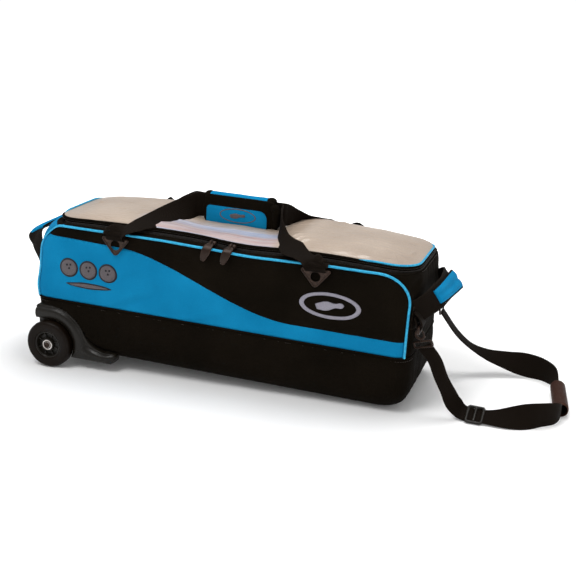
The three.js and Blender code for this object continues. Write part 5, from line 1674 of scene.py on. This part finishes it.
def ball_mark(number, x, z):
    """A plain ball with three finger holes."""
    name = f"ball_mark_{number}"
    make(name + "_edge", blob_mark(ellipse(x, z, 21, 20.5), 0.7), DARK_THREAD, "bag_body")
    make(name + "_fill", blob_mark(ellipse(x, z, 17.5, 17), 1.5), GREY_THREAD, "bag_body")
    for hole, (dx, dz) in enumerate(((-4, 6), (4, 7), (1, -1))):
        part = blob_mark(ellipse(x + dx, z + dz, 2.6, 2.6, 16), 2.2)
        make(f"{name}_hole_{hole}", part, DARK_THREAD, "bag_body")


def marks():
    """Generic embroidery: three balls over a lozenge, and a ringed pin on the front and on the grip."""
    for number in range(3):
        ball_mark(number, -322 + 45 * number, 193)
    make("lozenge_mark_edge", blob_mark(lens(-276, 159, 52, 6.5), 0.7), DARK_THREAD, "bag_body")
    make("lozenge_mark_fill", blob_mark(lens(-276, 159, 44, 3.8), 1.5), GREY_THREAD, "bag_body")
    place = (243, 202)
    profile = ((0, -1.08), (0.06, 0.9), (0.3, 1.71), (0.5, 1.8), (0.7, 1.71), (0.94, 0.9), (1, -1.08))
    make("oval_mark_ring", band_mark(place, (62, 26.5), (52, 19.5), profile), SILVER_THREAD, "bag_body")
    make("oval_mark_pin", blob_mark(pin_shape(*place, 58, 0.16), 1.6), SILVER_THREAD, "bag_body")
    place = (2, 320)
    profile = ((0, -2.3), (0.1, -0.4), (0.5, 0.1), (0.9, -0.4), (1, -2.3))
    ring = band_mark(place, (40, 15), (37, 12.6), profile, on_patch, 60)
    make("patch_mark_ring", ring, GREY_THREAD, "carry_front")
    make("patch_mark_pin", blob_mark(pin_shape(*place, 34, 0.12), 0.8, on_patch), GREY_THREAD, "carry_front")


# ------------------------------------------------------------------ assemble

FRONT_GRID = front_panels()
rear_panel()
end_panel(-1, BLUE, 13)
end_panel(1, BLACK, 17)
base_tub()
welt()
wheels()
top_gusset()
zip_chain("zip_coil_body", RIM_Z + 1.4, 1.0, "bag_body", "zipper_chain_body")
zip_chain("zip_coil_lid", RIM_Z + 4.0, 1.0, "lid", "zipper_chain_lid")
lid_band()
lid_cords()
window()
lid_hinge()
piping()
for side, x in (("left", -8), ("right", 34)):
    slider(x, side)
carry_handles()
wrap_pads()
wrap_rolls()
end_handle("left")
end_handle("right")
pull_strap()
marks()
for node, look in (("base_board", BOARD), ("foam_ball_tray", FOAM)):
    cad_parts[node].data.materials[0] = look

# ------------------------------------------------------------------ stage, light and camera


def stage():
    """A pale floor that glows a little away from the bag, so that it runs into the background."""
    reach = 6000
    floor = np.array([on_floor(x * reach, y * reach, 0) for x, y in ((-1, -1), (1, -1), (1, 1), (-1, 1))])
    look = Look("pale_floor", "stage", 0.9)
    look.color(look.mix(look.noise(3), (0.94, 0.94, 0.94), (0.96, 0.96, 0.96)))
    away = look.add("ShaderNodeVectorMath", operation="LENGTH")
    look.plug(away.inputs[0], look.where)
    look.shader.inputs["Emission Color"].default_value = (1, 1, 1, 1)
    glow = look.ramp(away.outputs["Value"], 0.45, 1.5, 0.02, 0.7)
    look.plug(look.shader.inputs["Emission Strength"], glow)
    data = bpy.data.meshes.new("floor")
    data.from_pydata((floor * MM).tolist(), [], [[0, 1, 2, 3]])
    data.materials.append(look.material)
    obj = bpy.data.objects.new("floor", data)
    bpy.context.scene.collection.objects.link(obj)


def area_light(name, place, target, size, power):
    """A round soft light, with places in metres."""
    data = bpy.data.lights.new(name, "AREA")
    data.shape = "DISK"
    data.size = size
    data.energy = power
    obj = bpy.data.objects.new(name, data)
    bpy.context.scene.collection.objects.link(obj)
    obj.location = place
    obj.rotation_euler = Vector(np.array(target) - np.array(place)).to_track_quat("-Z", "Y").to_euler()


def studio():
    """White surroundings, brighter to the camera than as light, and three soft lights."""
    scene = bpy.context.scene
    world = bpy.data.worlds.new("studio")
    scene.world = world
    world.use_nodes = True
    nodes, links = world.node_tree.nodes, world.node_tree.links
    background = nodes["Background"]
    background.inputs["Color"].default_value = (1, 1, 1, 1)
    seen = nodes.new("ShaderNodeMapRange")
    links.new(nodes.new("ShaderNodeLightPath").outputs["Is Camera Ray"], seen.inputs["Value"])
    seen.inputs["To Min"].default_value = 0.56
    seen.inputs["To Max"].default_value = 1.05
    links.new(seen.outputs[0], background.inputs["Strength"])
    area_light("key", (-0.7, -1.3, 2.5), (0, 0, 0.15), 1.2, 30)
    area_light("top", (0.3, 0.5, 2.6), (0.1, 0, 0.2), 1.4, 34)
    area_light("fill", (2.2, -1.4, 1.2), (0.2, 0, 0.15), 1.2, 5)
    scene.view_settings.view_transform = "Standard"


def camera():
    """The camera, in front and to the right of the bag, a little above it and slightly rolled."""
    azimuth, elevation, roll = (math.radians(v) for v in (17.8, 18.4, 3.3))
    flat = math.cos(elevation)
    back = np.array([math.sin(azimuth) * flat, -math.cos(azimuth) * flat, math.sin(elevation)])
    level = np.array([math.cos(azimuth), math.sin(azimuth), 0])
    overhead = np.cross(back, level)
    right = math.cos(roll) * level + math.sin(roll) * overhead
    up = math.cos(roll) * overhead - math.sin(roll) * level
    place = np.array([721.5, -1891.7, 838.7]) * MM
    data = bpy.data.cameras.new("camera")
    data.lens = 63.1
    data.sensor_width = 36
    data.clip_start = 0.05
    data.clip_end = 50
    seen_from = bpy.data.objects.new("camera", data)
    bpy.context.scene.collection.objects.link(seen_from)
    turned = np.eye(4)
    turned[:3] = np.stack([right, up, back, place], -1)
    seen_from.matrix_world = Matrix(turned)
    bpy.context.scene.camera = seen_from


stage()
studio()
camera()
